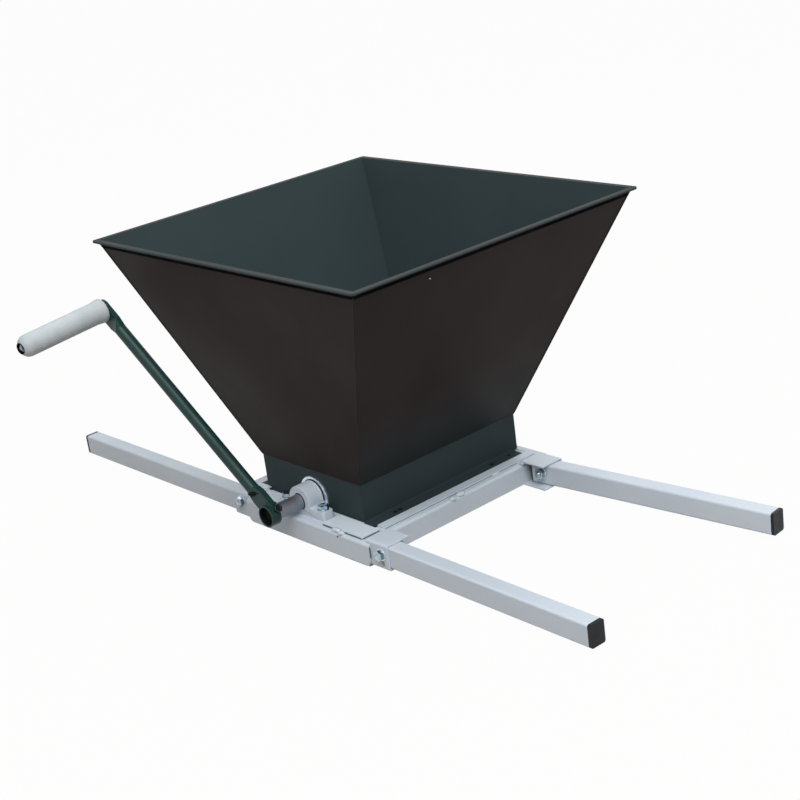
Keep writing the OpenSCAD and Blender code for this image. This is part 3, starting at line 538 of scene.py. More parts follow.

# %% Oil and painted shade, painted lip shadow, grime and painted gap shadow, and a painted reflection
# A near black for the bearing's seal and for painted shade: in the crank's crease, behind the arch, at the
# shaft's end and in the boss's mouth, and in the grip's recess.
OIL_AND_PAINTED_SHADE = painted("oil_and_painted_shade", srgb(12, 13, 15), srgb(8, 9, 10), srgb(20, 21, 22), srgb(18, 19, 20), 60.0,
              (0.6, 0.85), 0.1)
# Near black for the band under the lip: painted shadow of the lip.
LIP_SHADOW_PAINT = painted("lip_shadow_paint", srgb(5, 5, 5), srgb(3, 3, 3), srgb(8, 8, 8), srgb(9, 9, 9), 30.0,
                  (0.7, 0.9), 0.02, edge_width=0.0006, peel=(0.0002, 0.05))
# Dark and pale colours for the joint lines, painted shadow of the gaps; the dark one also colours a drip of
# grime.
GRIME_AND_GAP_SHADOW = painted("grime_and_gap_shadow", srgb(92, 106, 118), srgb(70, 84, 96), srgb(126, 138, 148),
                srgb(100, 112, 122), 60.0, (0.6, 0.85), 0.15, patch_share=0.7, speck_share=0.4)
PALE_GAP_SHADOW = painted("pale_gap_shadow", srgb(132, 146, 154), srgb(112, 126, 134), srgb(150, 162, 170),
                     srgb(138, 150, 158), 60.0, (0.6, 0.85), 0.15, patch_share=0.7, speck_share=0.4)
# A pale warm colour for a small patch below a bolt: painted reflection.
WARM_REFLECTION_PAINT = painted("warm_reflection_paint", srgb(188, 180, 158), srgb(168, 150, 118), srgb(200, 194, 178),
               srgb(190, 184, 170), 90.0, (0.6, 0.8), 0.2, patch_share=0.9, speck_share=0.5)
print("finishes", len(bpy.data.materials))

# %% [markdown]
# ## Dressing the CAD nodes
#
# Real sheet and tube never have razor edges. Each CAD mesh keeps its vertices, and gets a weld, so that
# the corners close, and a small bevel whose width follows the part: broad on castings and folded sheet,
# fine on hardware. The bevel is what catches the bright line along an edge.

# %% Finish and bevel for each node
FINISH_OF_SLOT = {
    "frame_paint": FRAME_PAINT, "hopper_paint": HOPPER_PAINT, "crank_paint": CRANK_PAINT,
    "cap_plastic": CAP_PLASTIC, "grip_plastic": GRIP_PLASTIC, "bright_steel": ZINC,
    "black_steel": BLACK_STEEL, "bronze": BRONZE, "roller_alloy": ROLLER_ALLOY,
}
BEVEL_OF_SLOT = {
    "frame_paint": 0.0006, "hopper_paint": 0.0004, "crank_paint": 0.0008, "cap_plastic": 0.0008,
    "grip_plastic": 0.0006, "bright_steel": 0.0003, "black_steel": 0.0004, "bronze": 0.0003,
    "roller_alloy": 0.0004,
}
# The slot plate, the arm washers and the near seat plates take lighter finishes: painted light.
OTHER_FINISH = {"drive_shaft": SHAFT_STEEL, "idler_shaft": SHAFT_STEEL, "slot_plate": STEEL_WITH_PAINTED_LIGHT,
                "arm_washers": STEEL_WITH_PAINTED_LIGHT, "near_left_plate": PLATE_PAINT_WITH_PAINTED_LIGHT, "near_right_plate": PLATE_PAINT_WITH_PAINTED_LIGHT}
OTHER_BEVEL = {"bearing_housing": 0.0016}
WELD_GAP, BEVEL_STEPS, BEVEL_ANGLE, NORMAL_WEIGHT = 0.00001, 2, math.radians(35), 80


def soften(obj, width):
    """Closes the mesh and rounds its sharp edges, without touching the mesh data."""
    weld = obj.modifiers.new("weld", "WELD")
    weld.merge_threshold = WELD_GAP
    edge = obj.modifiers.new("edge", "BEVEL")
    edge.width = width
    edge.segments = BEVEL_STEPS
    edge.limit_method = "ANGLE"
    edge.angle_limit = BEVEL_ANGLE
    edge.harden_normals = False
    edge.miter_outer = "MITER_ARC"
    smooth = obj.modifiers.new("normals", "WEIGHTED_NORMAL")
    smooth.keep_sharp = False
    smooth.weight = NORMAL_WEIGHT


for part in frame["record"]["subparts"]:
    name, slot = part["node"], part["material_slot"]
    obj = nodes[name]
    obj.data.materials.clear()
    obj.data.materials.append(OTHER_FINISH.get(name, FINISH_OF_SLOT[slot]))
    for face in obj.data.polygons:
        face.use_smooth = True
    soften(obj, OTHER_BEVEL.get(name, BEVEL_OF_SLOT[slot]))
print("dressed", len(nodes), "nodes")

# %% [markdown]
# ## Building small pieces
#
# Bolts, weld beads and blobs are too small to matter in the solids, but they are what the eye finds first.
# All of them are skins drawn through rings of points. A ring may be round, six-sided or wavy, so that one
# helper makes a bolt with its chamfered head and its thread, a nut, or a bead of weld. This keeps every edge
# real: light catches it from any side.

# %% Skins through rings
import bmesh
from mathutils import noise

MM = 0.001
RING = 48
SAME_POINT = 0.000001


def ring(radius, z):
    """A ring of points about the Z axis. Radius and height may be numbers or functions of the angle."""
    points = []
    for i in range(RING):
        angle = 2 * math.pi * i / RING
        r = radius(angle) if callable(radius) else radius
        h = z(angle) if callable(z) else z
        points.append(Vector((r * math.cos(angle), r * math.sin(angle), h)))
    return points


def skin(rings, loop=False):
    """Points and faces of a surface drawn through rings, closed at its ends or joined end to end."""
    count = len(rings[0])
    points = [p for one in rings for p in one]
    spans = len(rings) if loop else len(rings) - 1
    faces = []
    for i in range(spans):
        a, b = i * count, (i + 1) % len(rings) * count
        faces += [(a + j, a + (j + 1) % count, b + (j + 1) % count, b + j) for j in range(count)]
    if not loop:
        faces.append(tuple(range(count))[::-1])
        faces.append(tuple(range(len(points) - count, len(points))))
    return points, faces


def moved(shape, matrix):
    return [matrix @ p for p in shape[0]], shape[1]


def joined(*shapes):
    points, faces = [], []
    for some, sides in shapes:
        faces += [tuple(i + len(points) for i in side) for side in sides]
        points += some
    return points, faces


def make_piece(name, shape, finish, body, sharp=38):
    """An object from points and faces, smooth but for its sharp edges, riding on a body."""
    mesh = bpy.data.meshes.new(name)
    mesh.from_pydata([tuple(p) for p in shape[0]], [], shape[1])
    work = bmesh.new()
    work.from_mesh(mesh)
    bmesh.ops.remove_doubles(work, verts=work.verts, dist=SAME_POINT)
    bmesh.ops.recalc_face_normals(work, faces=work.faces)
    work.to_mesh(mesh)
    work.free()
    for face in mesh.polygons:
        face.use_smooth = True
    mesh.set_sharp_from_angle(angle=math.radians(sharp))
    mesh.materials.append(finish)
    obj = bpy.data.objects.new(name, mesh)
    scene.collection.objects.link(obj)
    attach(obj, body)
    return obj


def smooth_piece(name, shape, finish, body="frame"):
    """A piece with no sharp edge at all, such as a bead or a blob."""
    return make_piece(name, shape, finish, body, sharp=180)


def along(place, direction, turn=0.0):
    """A matrix that puts local Z along a direction at a place, turned about it."""
    spin = Vector(direction).to_track_quat("Z", "Y").to_matrix().to_4x4()
    return Matrix.Translation(Vector(place)) @ spin @ Matrix.Rotation(turn, 4, "Z")


print("helpers ready")

# %% [markdown]
# ## Bolts and nuts
#
# A real hexagon head is turned before its flats are cut, so its top edge is a cone that leaves a curved line
# on each flat. The nut has that on both faces, and the bolt's end shows a thread and a chamfer. Each bolt
# replaces its plain solid and takes its place from that solid's box.

# %% Hexagon shapes
HEX_ACROSS, HEAD_H, NUT_H = 13 * MM, 5.3 * MM, 6.5 * MM
BOLT_R, THREAD_DEPTH, THREAD_PITCH = 4 * MM, 0.62 * MM, 1.25 * MM
WASHER_R, WASHER_T = 8 * MM, 1.6 * MM
CONE, FACE_SHARE = math.tan(math.radians(30)), 0.96


def hexagon(across):
    """Distance from the axis to the side of a hexagon, by angle. Its corners lie at 0, 60, 120 degrees."""
    return lambda angle: across / 2 / math.cos(angle % (math.pi / 3) - math.pi / 6)


def turned_edge(across, level, way):
    """Height of a turned edge: it falls away from the face in a cone where the corners stand out."""
    side = hexagon(across)
    return lambda angle: level - way * (side(angle) - across / 2 * FACE_SHARE) * CONE


def groove(angle, z):
    """How deep a thread's groove is at an angle and a height, from 0 on its crest to 1 at its root."""
    return abs(2 * ((z / THREAD_PITCH - angle / 2 / math.pi) % 1) - 1)


def thread(radius, start, end):
    """Rings of a screw thread along Z: the groove's phase turns once for each pitch."""
    steps = max(2, math.ceil((end - start) / THREAD_PITCH * 6))
    heights = [start + (end - start) * i / steps for i in range(steps + 1)]
    return [ring(lambda a, z=z: radius - THREAD_DEPTH * groove(a, z), z) for z in heights]


def bolt_shape(across, head_h, radius, length, thread_l):
    """A bolt whose head's face is at 0 and whose shank runs to +Z, with a shallow dish in its head."""
    flat, edge = across / 2 * FACE_SHARE, 0.3 * MM
    rings = [ring(flat * 0.6, 0.35 * MM), ring(flat * 0.68, 0.05 * MM), ring(flat * 0.75, 0), ring(flat, 0),
             ring(hexagon(across), turned_edge(across, 0, -1)), ring(hexagon(across), head_h - edge),
             ring(lambda a: hexagon(across)(a) - edge, head_h), ring(radius, head_h)]
    rings += [ring(radius, length - thread_l)] if thread_l < length - head_h else []
    rings += thread(radius, max(head_h, length - thread_l), length - MM)
    rings.append(ring(radius - 1.2 * MM, length))
    return skin(rings)


def nut_shape(across, height, radius):
    """A nut from 0 to its height, with both faces turned and an open bore with chamfers."""
    flat, bore, edge = across / 2 * FACE_SHARE, radius + 0.05 * MM, 0.5 * MM
    return skin([ring(bore + edge, 0), ring(flat, 0), ring(hexagon(across), turned_edge(across, 0, -1)),
                 ring(hexagon(across), turned_edge(across, height, 1)), ring(flat, height),
                 ring(bore + edge, height), ring(bore, height - edge), ring(bore, edge)], loop=True)


def washer_shape(radius, bore, height):
    edge = 0.25 * MM
    return skin([ring(bore, 0), ring(radius - edge, 0), ring(radius, edge), ring(radius, height - edge),
                 ring(radius - edge, height), ring(bore, height)], loop=True)


print("hexagon shapes ready")

# %% Arm bolts
ARMS = [(side, end) for side in ("near", "far") for end in ("left", "right")]
HEX_TURN = {"near_left": 0.2, "near_right": 0.45, "far_left": 0.75, "far_right": 0.1}
NUT_TURN, ARM_THREAD = 0.3, 16 * MM


def outer_end(low, high, way, turn):
    """A matrix at the outer end of a box along Y, turned about it."""
    middle = (low + high) / 2
    return along((middle.x, low.y if way > 0 else high.y, middle.z), (0, way, 0), turn)


for side, end in ARMS:
    key = side + "_" + end
    way = 1 if side == "near" else -1
    turn = HEX_TURN[key]
    low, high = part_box("arm_bolt_" + key)
    shape = moved(bolt_shape(HEX_ACROSS, HEAD_H, BOLT_R, high.y - low.y, ARM_THREAD),
                  outer_end(low, high, way, turn))
    bolt = make_piece("bolt_" + key, shape, ZINC, "frame")
    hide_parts("arm_bolt_" + key)
    low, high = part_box("arm_nut_" + key)
    shape = moved(nut_shape(HEX_ACROSS, NUT_H, BOLT_R), outer_end(low, high, way, turn + NUT_TURN))
    nut = make_piece("nut_" + key, shape, ZINC, "frame")
    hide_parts("arm_nut_" + key)
print("arm bolts and nuts", 2 * len(ARMS))

# %% [markdown]
# ## Bolts of the bearing and the crank
#
# Two bolts hold the bearing's foot. Each is drawn in one piece with its washer and its nut, because nothing
# moves between them. A small black set bolt in the boss holds the crank on the shaft. We find its place from
# the shaft's axis, and it turns with the crank.

# %% Bearing and set bolts
FOOT_TURN, FOOT_THREAD, NUT_FROM_END = {"left": 0.35, "right": 0.9}, 20 * MM, 9.5 * MM
for end in ("left", "right"):
    low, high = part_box("housing_bolt_" + end)
    middle, length = (low + high) / 2, high.z - low.z
    top = along((middle.x, middle.y, high.z), (0, 0, -1), FOOT_TURN[end])
    bolt = bolt_shape(HEX_ACROSS, HEAD_H, BOLT_R, length, FOOT_THREAD)
    washer = moved(washer_shape(WASHER_R, BOLT_R, WASHER_T), Matrix.Translation((0, 0, HEAD_H)))
    nut = moved(nut_shape(HEX_ACROSS, NUT_H, BOLT_R), Matrix.Translation((0, 0, length - NUT_FROM_END)))
    shape = moved(joined(bolt, washer, nut), top)
    piece = make_piece("foot_bolt_" + end, shape, ZINC, "frame")
    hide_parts("housing_bolt_" + end)

SHAFT_X, SHAFT_Z = 4 * MM, 52 * MM
SET_ANGLE, SET_Y, SET_TOP = math.radians(38), -215 * MM, 20.5 * MM
SET_ACROSS, SET_HEAD, SET_R, SET_LENGTH, SET_THREAD = 10 * MM, 4 * MM, 3 * MM, 10 * MM, 6 * MM
outward = Vector((math.cos(SET_ANGLE), 0, math.sin(SET_ANGLE)))
seat = along(Vector((SHAFT_X, SET_Y, SHAFT_Z)) + outward * SET_TOP, -outward)
bolt = bolt_shape(SET_ACROSS, SET_HEAD, SET_R, SET_LENGTH, SET_THREAD)
piece = make_piece("set_bolt", moved(bolt, seat), BLACK_STEEL, "drive")
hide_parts("crank_set_bolt")
print("bearing and set bolts ready")

# %% [markdown]
# ## Welds
#
# The frame and the crank are welded by hand and then painted over, so the welds wear the paint's colour. A
# bead is a tube along the joint whose radius ripples where each drop set, and a blob is a ball pulled out of
# round by noise. Both sit half inside the metal.

# %% Beads and blobs
BEAD_SIDES, BEAD_STEP, RIPPLE, END_SHARE = 12, 0.9 * MM, 1.9 * MM, 0.45
RIPPLE_SHARE, NOISE_SHARE, NOISE_SCALE = 0.1, 0.16, 260
BLOB_SWELL, BLOB_SCALE = 0.28, 1.7


def bead_shape(path, radius, closed=False, step=BEAD_STEP, seed=0.0, rough=1.0):
    """A tube along a path of points, rippled unless it is ground smooth."""
    path = [Vector(p) for p in path] + ([Vector(path[0])] if closed else [])
    spots, lengths = [], []
    done = 0.0
    for a, b in zip(path, path[1:]):
        parts = max(1, round((b - a).length / step))
        for i in range(parts):
            spots.append(a.lerp(b, i / parts))
            lengths.append(done + (b - a).length * i / parts)
        done += (b - a).length
    if not closed:
        spots.append(path[-1])
        lengths.append(done)
    rings = []
    count = len(spots)
    for i, spot in enumerate(spots):
        before = spots[i - 1] if i or closed else spot
        after = spots[(i + 1) % count] if i < count - 1 or closed else spot
        way = (after - before).normalized()
        first = (way.orthogonal() if abs(way.z) > 0.9 else way.cross(Vector((0, 0, 1)))).normalized()
        second = way.cross(first)
        drift = noise.noise(Vector((lengths[i] * NOISE_SCALE, seed, 0.5)))
        wave = RIPPLE_SHARE * math.sin(2 * math.pi * lengths[i] / RIPPLE) + NOISE_SHARE * drift
        size = radius * (1 + rough * wave)
        if not closed:
            near_end = min(lengths[i], done - lengths[i]) / radius
            size *= min(1.0, END_SHARE + (1 - END_SHARE) * near_end)
        rings.append([spot + (first * math.cos(2 * math.pi * j / BEAD_SIDES)
                              + second * math.sin(2 * math.pi * j / BEAD_SIDES)) * size
                      for j in range(BEAD_SIDES)])
    return skin(rings, loop=closed)


def blob_shape(place, size, seed):
    """A ball of spatter at a place, with its three half sizes and pulled out of round."""
    work = bmesh.new()
    bmesh.ops.create_icosphere(work, subdivisions=3, radius=1.0)
    points = [Vector(v.co) for v in work.verts]
    faces = [tuple(v.index for v in f.verts) for f in work.faces]
    work.free()
    place = Vector(place)
    scaled = []
    for p in points:
        swell = 1 + BLOB_SWELL * noise.noise(p * BLOB_SCALE + Vector((seed, 0, 0)))
        scaled.append(place + Vector((p.x * size[0], p.y * size[1], p.z * size[2])) * swell)
    return scaled, faces


def blob(name, place, size, seed, finish=FRAME_PAINT):
    """A blob as a piece, given in millimetres."""
    smooth_piece(name, blob_shape([v * MM for v in place], [v * MM for v in size], seed), finish)


print("weld helpers ready")

# %% Welds of the frame
NEAR_Y, FAR_Y = -140.5 * MM, 139.5 * MM
BAR_X, BAR_TOP = 148 * MM, 34 * MM
BRACKET_Z, INNER_LEFT = 37.1 * MM, 96 * MM
WELD_R, BAR_WELD_R = 1.7 * MM, 1.2 * MM
SIDES = ((-1, "left"), (1, "right"))
beads = []


def bead(name, path, radius=WELD_R):
    beads.append(smooth_piece(name, bead_shape(path, radius, seed=float(len(beads))), FRAME_PAINT))


for side, end in SIDES:
    inner, z = (BAR_X if side > 0 else INNER_LEFT), BRACKET_Z
    bead("weld_bracket_near_" + end, [(side * inner, -176 * MM, z), (side * inner, -145 * MM, z)])
    bead("weld_bracket_far_" + end, [(side * BAR_X, 107 * MM, z), (side * BAR_X, 139 * MM, z)])
    bead("weld_bar_near_" + end, [(side * 139.5 * MM, NEAR_Y, BAR_TOP), (side * 146.5 * MM, NEAR_Y, BAR_TOP)],
         BAR_WELD_R)
    bead("weld_bar_far_" + end, [(side * 105 * MM, FAR_Y, BAR_TOP), (side * 146 * MM, FAR_Y, BAR_TOP)],
         BAR_WELD_R)
    bead("weld_bar_far_side_" + end, [(side * BAR_X, FAR_Y, 31 * MM), (side * BAR_X, FAR_Y, 8 * MM)],
         BAR_WELD_R)
print("frame beads", len(beads))

# %% [markdown]
# ## Tack welds and spatter
#
# The seat plates and strips are only tacked down, and a few grains of spatter lie beside the tacks. Each is a
# blob. The table gives places and half sizes in millimetres.

# %% Tacks and spatter
BLOB_SEED_STEP = 3.1
BLOBS = (
    ("tack_plate_a", (88, -178.0, 36.0), (8.0, 4.2, 2.6)),
    ("tack_plate_b", (98, -179.6, 34.8), (6.2, 3.8, 2.8)),
    ("tack_plate_left", (-70, -176.8, 35.4), (6.0, 2.6, 2.2)),
    ("tack_bar_a", (146.0, -26, 33.8), (3.8, 6.0, 3.4)),
    ("tack_bar_b", (144.4, -10, 34.8), (4.4, 8.0, 2.8)),
    ("tack_bar_left", (-143.2, 12, 34.3), (3.6, 6.0, 2.2)),
    ("tack_far", (146.8, 105.6, 35.4), (3.8, 3.4, 2.8)),
    ("tack_strip_right", (138.8, 62, 34.8), (1.8, 7.0, 1.6)),
    ("tack_strip_left", (-138.8, 60, 34.8), (1.8, 7.0, 1.6)),
    ("spatter_bar", (145.4, -40.0, 34.1), (0.9, 0.8, 0.5)),
    ("spatter_rail", (118, -180.4, 34.1), (0.9, 0.8, 0.5)),
)
for i, (name, place, size) in enumerate(BLOBS):
    blob(name, place, size, BLOB_SEED_STEP * i)
print("blobs", len(BLOBS))

# %% [markdown]
# ## Joint lines
#
# The seat plates and strips are only tacked down, so a dark line shows along their feet, and another where
# the rail's skin laps over a bracket. Each line is a fine dark thread laid into the joint: painted shadow of
# the gap.

# %% Painted shadow in the joints
PLATE_LEFT, PLATE_RIGHT, PLATE_FRONT, PLATE_BACK = 56.5 * MM, 136 * MM, -176 * MM, -146.5 * MM
STRIP_OUT, STRIP_END = 138 * MM, 104 * MM
LAP_Y, LAP_LOW, LAP_HIGH = -180.6 * MM, 14 * MM, 30 * MM
LINE_R, PLATE_LINE_R, LINE_STEP, LINE_ROUGH = 0.9 * MM, 1.35 * MM, 2 * MM, 0.8
LINES = {
    "plate_front": [(PLATE_LEFT, PLATE_FRONT, BAR_TOP), (PLATE_RIGHT, PLATE_FRONT, BAR_TOP)],
    "plate_end": [(PLATE_RIGHT, PLATE_FRONT, BAR_TOP), (PLATE_RIGHT, PLATE_BACK, BAR_TOP)],
    "plate_left_front": [(-95 * MM, PLATE_FRONT, BAR_TOP), (-49 * MM, PLATE_FRONT, BAR_TOP)],
    "lap_right": [(153.7 * MM, LAP_Y, LAP_LOW), (153.7 * MM, LAP_Y, LAP_HIGH)],
    "lap_left": [(-101.7 * MM, LAP_Y, LAP_LOW), (-101.7 * MM, LAP_Y, LAP_HIGH)],
}
for side, end in SIDES:
    LINES["strip_" + end] = [(side * STRIP_OUT, NEAR_Y + 2 * MM, BAR_TOP),
                             (side * STRIP_OUT, STRIP_END, BAR_TOP)]
for i, (name, path) in enumerate(LINES.items()):
    gap_shadow = PALE_GAP_SHADOW if name.startswith("strip") else GRIME_AND_GAP_SHADOW
    size = PLATE_LINE_R if name in ("plate_front", "plate_end") else LINE_R
    line = bead_shape(path, size, step=LINE_STEP, seed=80.0 + i, rough=LINE_ROUGH)
    smooth_piece("joint_" + name, line, gap_shadow)
print("joint lines", len(LINES))

# %% Painted shade behind the arch, a painted reflection and a drip
ARCH_R, ARCH_BACK, ARCH_LINE_R = 21.3 * MM, -145 * MM, 0.8 * MM
angles = [math.radians(a) for a in range(-10, 191, 10)]
arch = [(SHAFT_X + ARCH_R * math.cos(a), ARCH_BACK, SHAFT_Z + ARCH_R * math.sin(a)) for a in angles]
# A dark line along the arch's back edge: painted shade behind the housing.
smooth_piece("joint_arch", bead_shape(arch, ARCH_LINE_R, step=LINE_STEP, seed=95.0, rough=LINE_ROUGH), OIL_AND_PAINTED_SHADE)
RAIL_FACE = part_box("near_rail")[0].y
# A pale warm patch below the near right bolt: painted reflection.
blob("warm_reflection_patch", (176.5, -179.55, 12.5), (2.6, 0.25, 4.2), 11.0, WARM_REFLECTION_PAINT)
blob("weld_drip", (93.4, RAIL_FACE / MM, 29.4), (1.8, 0.4, 1.2), 13.0, GRIME_AND_GAP_SHADOW)
print("arch, rust and drip ready")

# %% [markdown]
# ## Plugs in the arms
#
# Each arm is a length of tube, and a black plug closes its inner end, like the cap at its outer end; the
# black plug also stands in for the shade in the gap between the arm and the crossbar, as painted shade. We
# draw the tube's own outline a little smaller, at three places along the arm, and skin it.

# %% Plugs in the arms' inner ends
ARM_W, ARM_H, ARM_CORNER, ARM_FOOT = 23 * MM, 29.5 * MM, 3 * MM, 7 * MM
PLUG_T, PLUG_CHAMFER, PLUG_FIT, ARM_START = 2.4 * MM, 0.8 * MM, 0.2 * MM, -33 * MM
ARM_PIVOTS = {"near_left": (-135, -177, 0), "near_right": (187, -177, 1), "far_left": (-187, 139.5, 5.8),
              "far_right": (187, 139.5, 5.8)}


def tube_ring(x, shrink):
    """The arm's outline as a ring of points at a place along it, drawn in by a margin."""
    half_w, half_h, r = ARM_W / 2 - shrink, ARM_H / 2 - shrink, ARM_CORNER - shrink / 2
    points = []
    for i in range(RING):
        a = 2 * math.pi * (i + 0.5) / RING
        corner = Vector((math.copysign(half_w - r, math.cos(a)), math.copysign(half_h - r, math.sin(a))))
        spot = corner + Vector((math.cos(a), math.sin(a))) * r
        points.append(Vector((x, spot.x - ARM_W / 2, spot.y + ARM_H / 2)))
    return points


for key, (x, y, splay) in ARM_PIVOTS.items():
    side_x, side_y = (-1 if "left" in key else 1), (1 if "far" in key else -1)
    frame_of_arm = (Matrix.Translation((x * MM, y * MM, ARM_FOOT)) @ Matrix.Diagonal((side_x, side_y, 1, 1))
                    @ Matrix.Rotation(math.radians(splay), 4, "Z"))
    rings = [tube_ring(ARM_START - PLUG_T, 1.2 * MM), tube_ring(ARM_START - PLUG_T + PLUG_CHAMFER, PLUG_FIT),
             tube_ring(ARM_START, PLUG_FIT)]
    # The black plug also darkens the gap by the crossbar: painted shade.
    make_piece("plug_" + key, moved(skin(rings), frame_of_arm), CAP_PLASTIC, "frame")
print("plugs", len(ARM_PIVOTS))

# %% [markdown]
# ## The crank's foot
#
# The crank is a tube pressed flat at its foot and welded to a boss. One matrix stands for the crank at rest,
# with its turn and its lean, so that everything on it is given along the arm. The press leaves a crease where
# the round tube ends, and a dark line and dent there are painted shade in its fold. They follow the arm's own
# surface, which we find by casting rays at the mesh.

# %% Weld of the crank
CRANK_Y, CRANK_TURN, CRANK_LEAN = -213.5 * MM, math.radians(135.7), math.radians(6.2)
crank_frame = (Matrix.Translation((SHAFT_X, CRANK_Y, SHAFT_Z)) @ Matrix.Rotation(-CRANK_TURN, 4, "Y")
               @ Matrix.Rotation(-CRANK_LEAN, 4, "Z"))
BOSS_R, FOOT_HALF_T, FOOT_HALF_W = 15 * MM, 4 * MM, 13.5 * MM
reach = math.asin(FOOT_HALF_W / BOSS_R)
CRANK_WELD_R, CRANK_WELD_OUT = 1.5 * MM, 0.3 * MM
loop = []
for face in (-1, 1):
    for i in range(9):
        a = face * reach * (i / 4 - 1)
        loop.append(crank_frame @ Vector((BOSS_R * math.cos(a) + CRANK_WELD_OUT, face * FOOT_HALF_T,
                                          BOSS_R * math.sin(a))))
weld = bead_shape(loop, CRANK_WELD_R, closed=True, seed=40.0)
smooth_piece("weld_crank", weld, CRANK_PAINT, "drive")
print("crank weld points", len(loop))

# %% Crease where the tube is pressed flat
arm = nodes["crank_arm"]
to_arm = arm.matrix_world.inverted()
BEFORE_ARM = -30 * MM


def on_arm(along_arm, across, depth):
    """The point on the arm's outer face at a place along and across it, in mm, sunk by a depth."""
    start = to_arm @ (crank_frame @ Vector((along_arm * MM, BEFORE_ARM, across * MM)))
    way = to_arm.to_3x3() @ (crank_frame.to_3x3() @ Vector((0, 1, 0)))
    spot = arm.ray_cast(start, way)[1]
    return arm.matrix_world @ (spot + way.normalized() * depth)


CREASE_ALONG, CREASE_ACROSS, CREASE_STEPS, CREASE_DEPTH = (39, -8), (7, -16.5), 6, 0.35 * MM
path = [on_arm(CREASE_ALONG[0] + CREASE_ALONG[1] * k / CREASE_STEPS,
               CREASE_ACROSS[0] + CREASE_ACROSS[1] * k / CREASE_STEPS, CREASE_DEPTH)
        for k in range(CREASE_STEPS + 1)]
# A dark line and a dark dent: painted shade in the fold where the tube is pressed flat.
smooth_piece("press_crease", bead_shape(path, 0.8 * MM, seed=45.0), OIL_AND_PAINTED_SHADE, "drive")
DENT_TURN, DENT_SIZE = math.radians(26), (4.0 * MM, 1.5 * MM, 7.4 * MM)
dent = (Matrix.Translation(on_arm(38.2, 0.5, 0)) @ crank_frame.to_3x3().to_4x4()
        @ Matrix.Rotation(DENT_TURN, 4, "Y"))
smooth_piece("press_dent", moved(blob_shape((0, 0, 0), DENT_SIZE, 46.0), dent), OIL_AND_PAINTED_SHADE, "drive")
print("crease and dent ready")

# %% [markdown]
# ## Seams of the hopper
#
# The funnel is four sheets welded along its corners, and each weld is ground to a fine raised line. Under the
# lip runs a black band of painted shadow, which draws the dark line below the rim. The throat's corner has a
# small round relief where two folds meet, drawn as a black blob of painted shade, and a small spot of bright
# metal sits below the rim.

# %% Seams
HALF_W, HALF_D, THROAT_TOP = 102.5 * MM, 141.5 * MM, 86.5 * MM
TOP_X, TOP_Y, TOP_Z = 264.3 * MM, 236.4 * MM, 395.5 * MM
SEAM_R, SEAM_STEP, SEAM_ROUGH = 0.8 * MM, 4 * MM, 0.1
for x in (-1, 1):
    for y in (-1, 1):
        key = ("near_" if y < 0 else "far_") + ("left" if x < 0 else "right")
        low_end = Vector((x * HALF_W, y * HALF_D, THROAT_TOP))
        high_end = Vector((x * TOP_X, y * TOP_Y, TOP_Z))
        seam = bead_shape([low_end, high_end], SEAM_R, step=SEAM_STEP, rough=SEAM_ROUGH, seed=60.0 + x + y)
        smooth_piece("seam_" + key, seam, HOPPER_PAINT)
print("seams ready")

# %% Painted lip shadow, relief shade and a bright spot
RISE, RUN_X, RUN_Y = 309.5, 162, 95
SLOPE_X, SLOPE_Y = RUN_X / RISE, RUN_Y / RISE
BAND = ((387.6, -0.3), (387.8, 0.35), (389.5, 0.8), (395.9, 1.0), (395.9, -0.3))


def funnel_ring(z, proud):
    """The funnel's outer outline at a height, standing a little proud of its sheet."""
    x = HALF_W + SLOPE_X * (z - THROAT_TOP) + proud
    y = HALF_D + SLOPE_Y * (z - THROAT_TOP) + proud
    return [Vector((sx * x, sy * y, z)) for sx, sy in ((-1, -1), (1, -1), (1, 1), (-1, 1))]


band = [funnel_ring(z * MM, proud * MM) for z, proud in BAND]
# A black band under the lip: painted shadow of the lip.
make_piece("lip_shadow_band", skin(band, loop=True), LIP_SHADOW_PAINT, "frame")
# A black blob for the relief hole: painted shade inside the hole.
blob("relief_hole_shade", (HALF_W / MM, -HALF_D / MM, 76), (1.5, 1.5, 1.7), 7.0, BLACK_STEEL)
# A small spot of bright metal below the rim.
blob("bright_spot", (262.0, -118.7, 379.7), (1.0, 1.4, 1.0), 9.0, ZINC)
print("sealant ready")

# %% [markdown]
# ## The shaft's end
#
# The shaft stops short of the boss's mouth. Its sawn end, with a centre hole from the lathe, is drawn black,
# and black also lines the mouth: painted shade deep in the boss. Where the shaft leaves the bearing runs a
# thin dark seal. Both are turned parts, so each is one skin through rings about the shaft's axis.

# %% Shaft end
END_Y, MOUTH_R, MOUTH_WALL, MOUTH_DEEP = -218.2 * MM, 12.9 * MM, 0.3 * MM, 7.4 * MM
end_rings = [ring(0.3 * MM, 0.5 * MM), ring(2.4 * MM, 1.6 * MM), ring(9.2 * MM, 1.5 * MM),
             ring(10.4 * MM, 0.9 * MM), ring(MOUTH_R, 0.6 * MM), ring(MOUTH_R, MOUTH_DEEP),
             ring(MOUTH_R + MOUTH_WALL, MOUTH_DEEP), ring(MOUTH_R + MOUTH_WALL, -0.3 * MM)]
# Painted shade: the black end and lining darken the boss's mouth.
make_piece("shaft_end", moved(skin(end_rings), along((SHAFT_X, END_Y, SHAFT_Z), (0, -1, 0))), OIL_AND_PAINTED_SHADE, "drive")
SEAL_Y, SEAL_IN, SEAL_OUT = -169.5 * MM, 10.55 * MM, 11.3 * MM
seal = skin([ring(SEAL_IN, -3 * MM), ring(SEAL_OUT, -3 * MM), ring(SEAL_OUT, -0.3 * MM),
             ring(10.8 * MM, 0.3 * MM), ring(SEAL_IN, 0)], loop=True)
seal = moved(seal, along((SHAFT_X, SEAL_Y, SHAFT_Z), (0, -1, 0)))
make_piece("oil_seal", seal, OIL_AND_PAINTED_SHADE, "frame")
print("shaft end and seal ready")
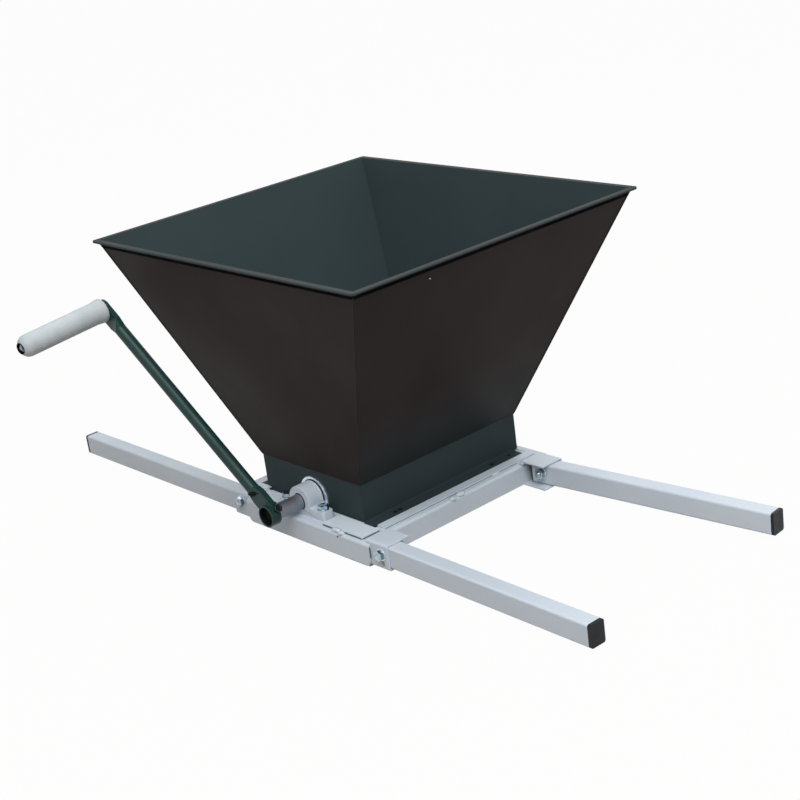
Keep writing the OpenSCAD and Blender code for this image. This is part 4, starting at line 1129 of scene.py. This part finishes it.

# %% [markdown]
# ## The grip's spindle
#
# The grip turns on a steel pin that is riveted to the arm. At the free end a small nut holds the grip on,
# deep in a recess lined with a black cup: painted shade in the recess. The pin replaces its plain solid, and
# the dark cup turns with the grip.

# %% Spindle and recess
CRANK_R, PIN_R, FLAT_HALF_T, PIN_ACROSS = 367 * MM, 5 * MM, 3 * MM, 10 * MM
NUT_LOW, NUT_HIGH, PIN_END_R = 133.6 * MM, 137.0 * MM, 3.0 * MM
out_along_grip = crank_frame @ Matrix.Translation((CRANK_R, 0, 0)) @ Matrix.Rotation(math.radians(90), 4, "X")
pin = skin([ring(6.2 * MM, -4.5 * MM), ring(7.4 * MM, -4.0 * MM), ring(7.5 * MM, -FLAT_HALF_T),
            ring(PIN_R, -FLAT_HALF_T), ring(PIN_R, NUT_LOW), ring(hexagon(PIN_ACROSS), NUT_LOW),
            ring(hexagon(PIN_ACROSS), turned_edge(PIN_ACROSS, NUT_HIGH, 1)), ring(4.7 * MM, NUT_HIGH),
            ring(PIN_END_R, NUT_HIGH), ring(PIN_END_R, 137.9 * MM), ring(2.4 * MM, 138.4 * MM)])
piece = make_piece("spindle", moved(pin, out_along_grip), ZINC, "drive")
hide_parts("grip_spindle")
GRIP_FLOOR, GRIP_FACE, CUP_R, CUP_IN, LAYER = 133.4 * MM, 139.4 * MM, 7.5 * MM, 5.2 * MM, 0.2 * MM
cup = skin([ring(CUP_IN, GRIP_FLOOR - LAYER), ring(CUP_IN, GRIP_FLOOR + LAYER),
            ring(CUP_R - LAYER, GRIP_FLOOR + 0.3 * MM), ring(CUP_R - 0.1 * MM, GRIP_FACE - 0.3 * MM),
            ring(CUP_R + LAYER, GRIP_FACE - 0.1 * MM), ring(CUP_R + LAYER, GRIP_FLOOR - LAYER)], loop=True)
# A black cup lines the recess: painted shade.
make_piece("grip_recess_shade", moved(cup, out_along_grip), OIL_AND_PAINTED_SHADE, "grip")
print("spindle ready")

# %% [markdown]
# ## Sizes
#
# The last step prints the dressed model's box.

# %% Sizes and finish
low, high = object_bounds()
print("visual box", [round(v, 4) for v in (*low, *high)])
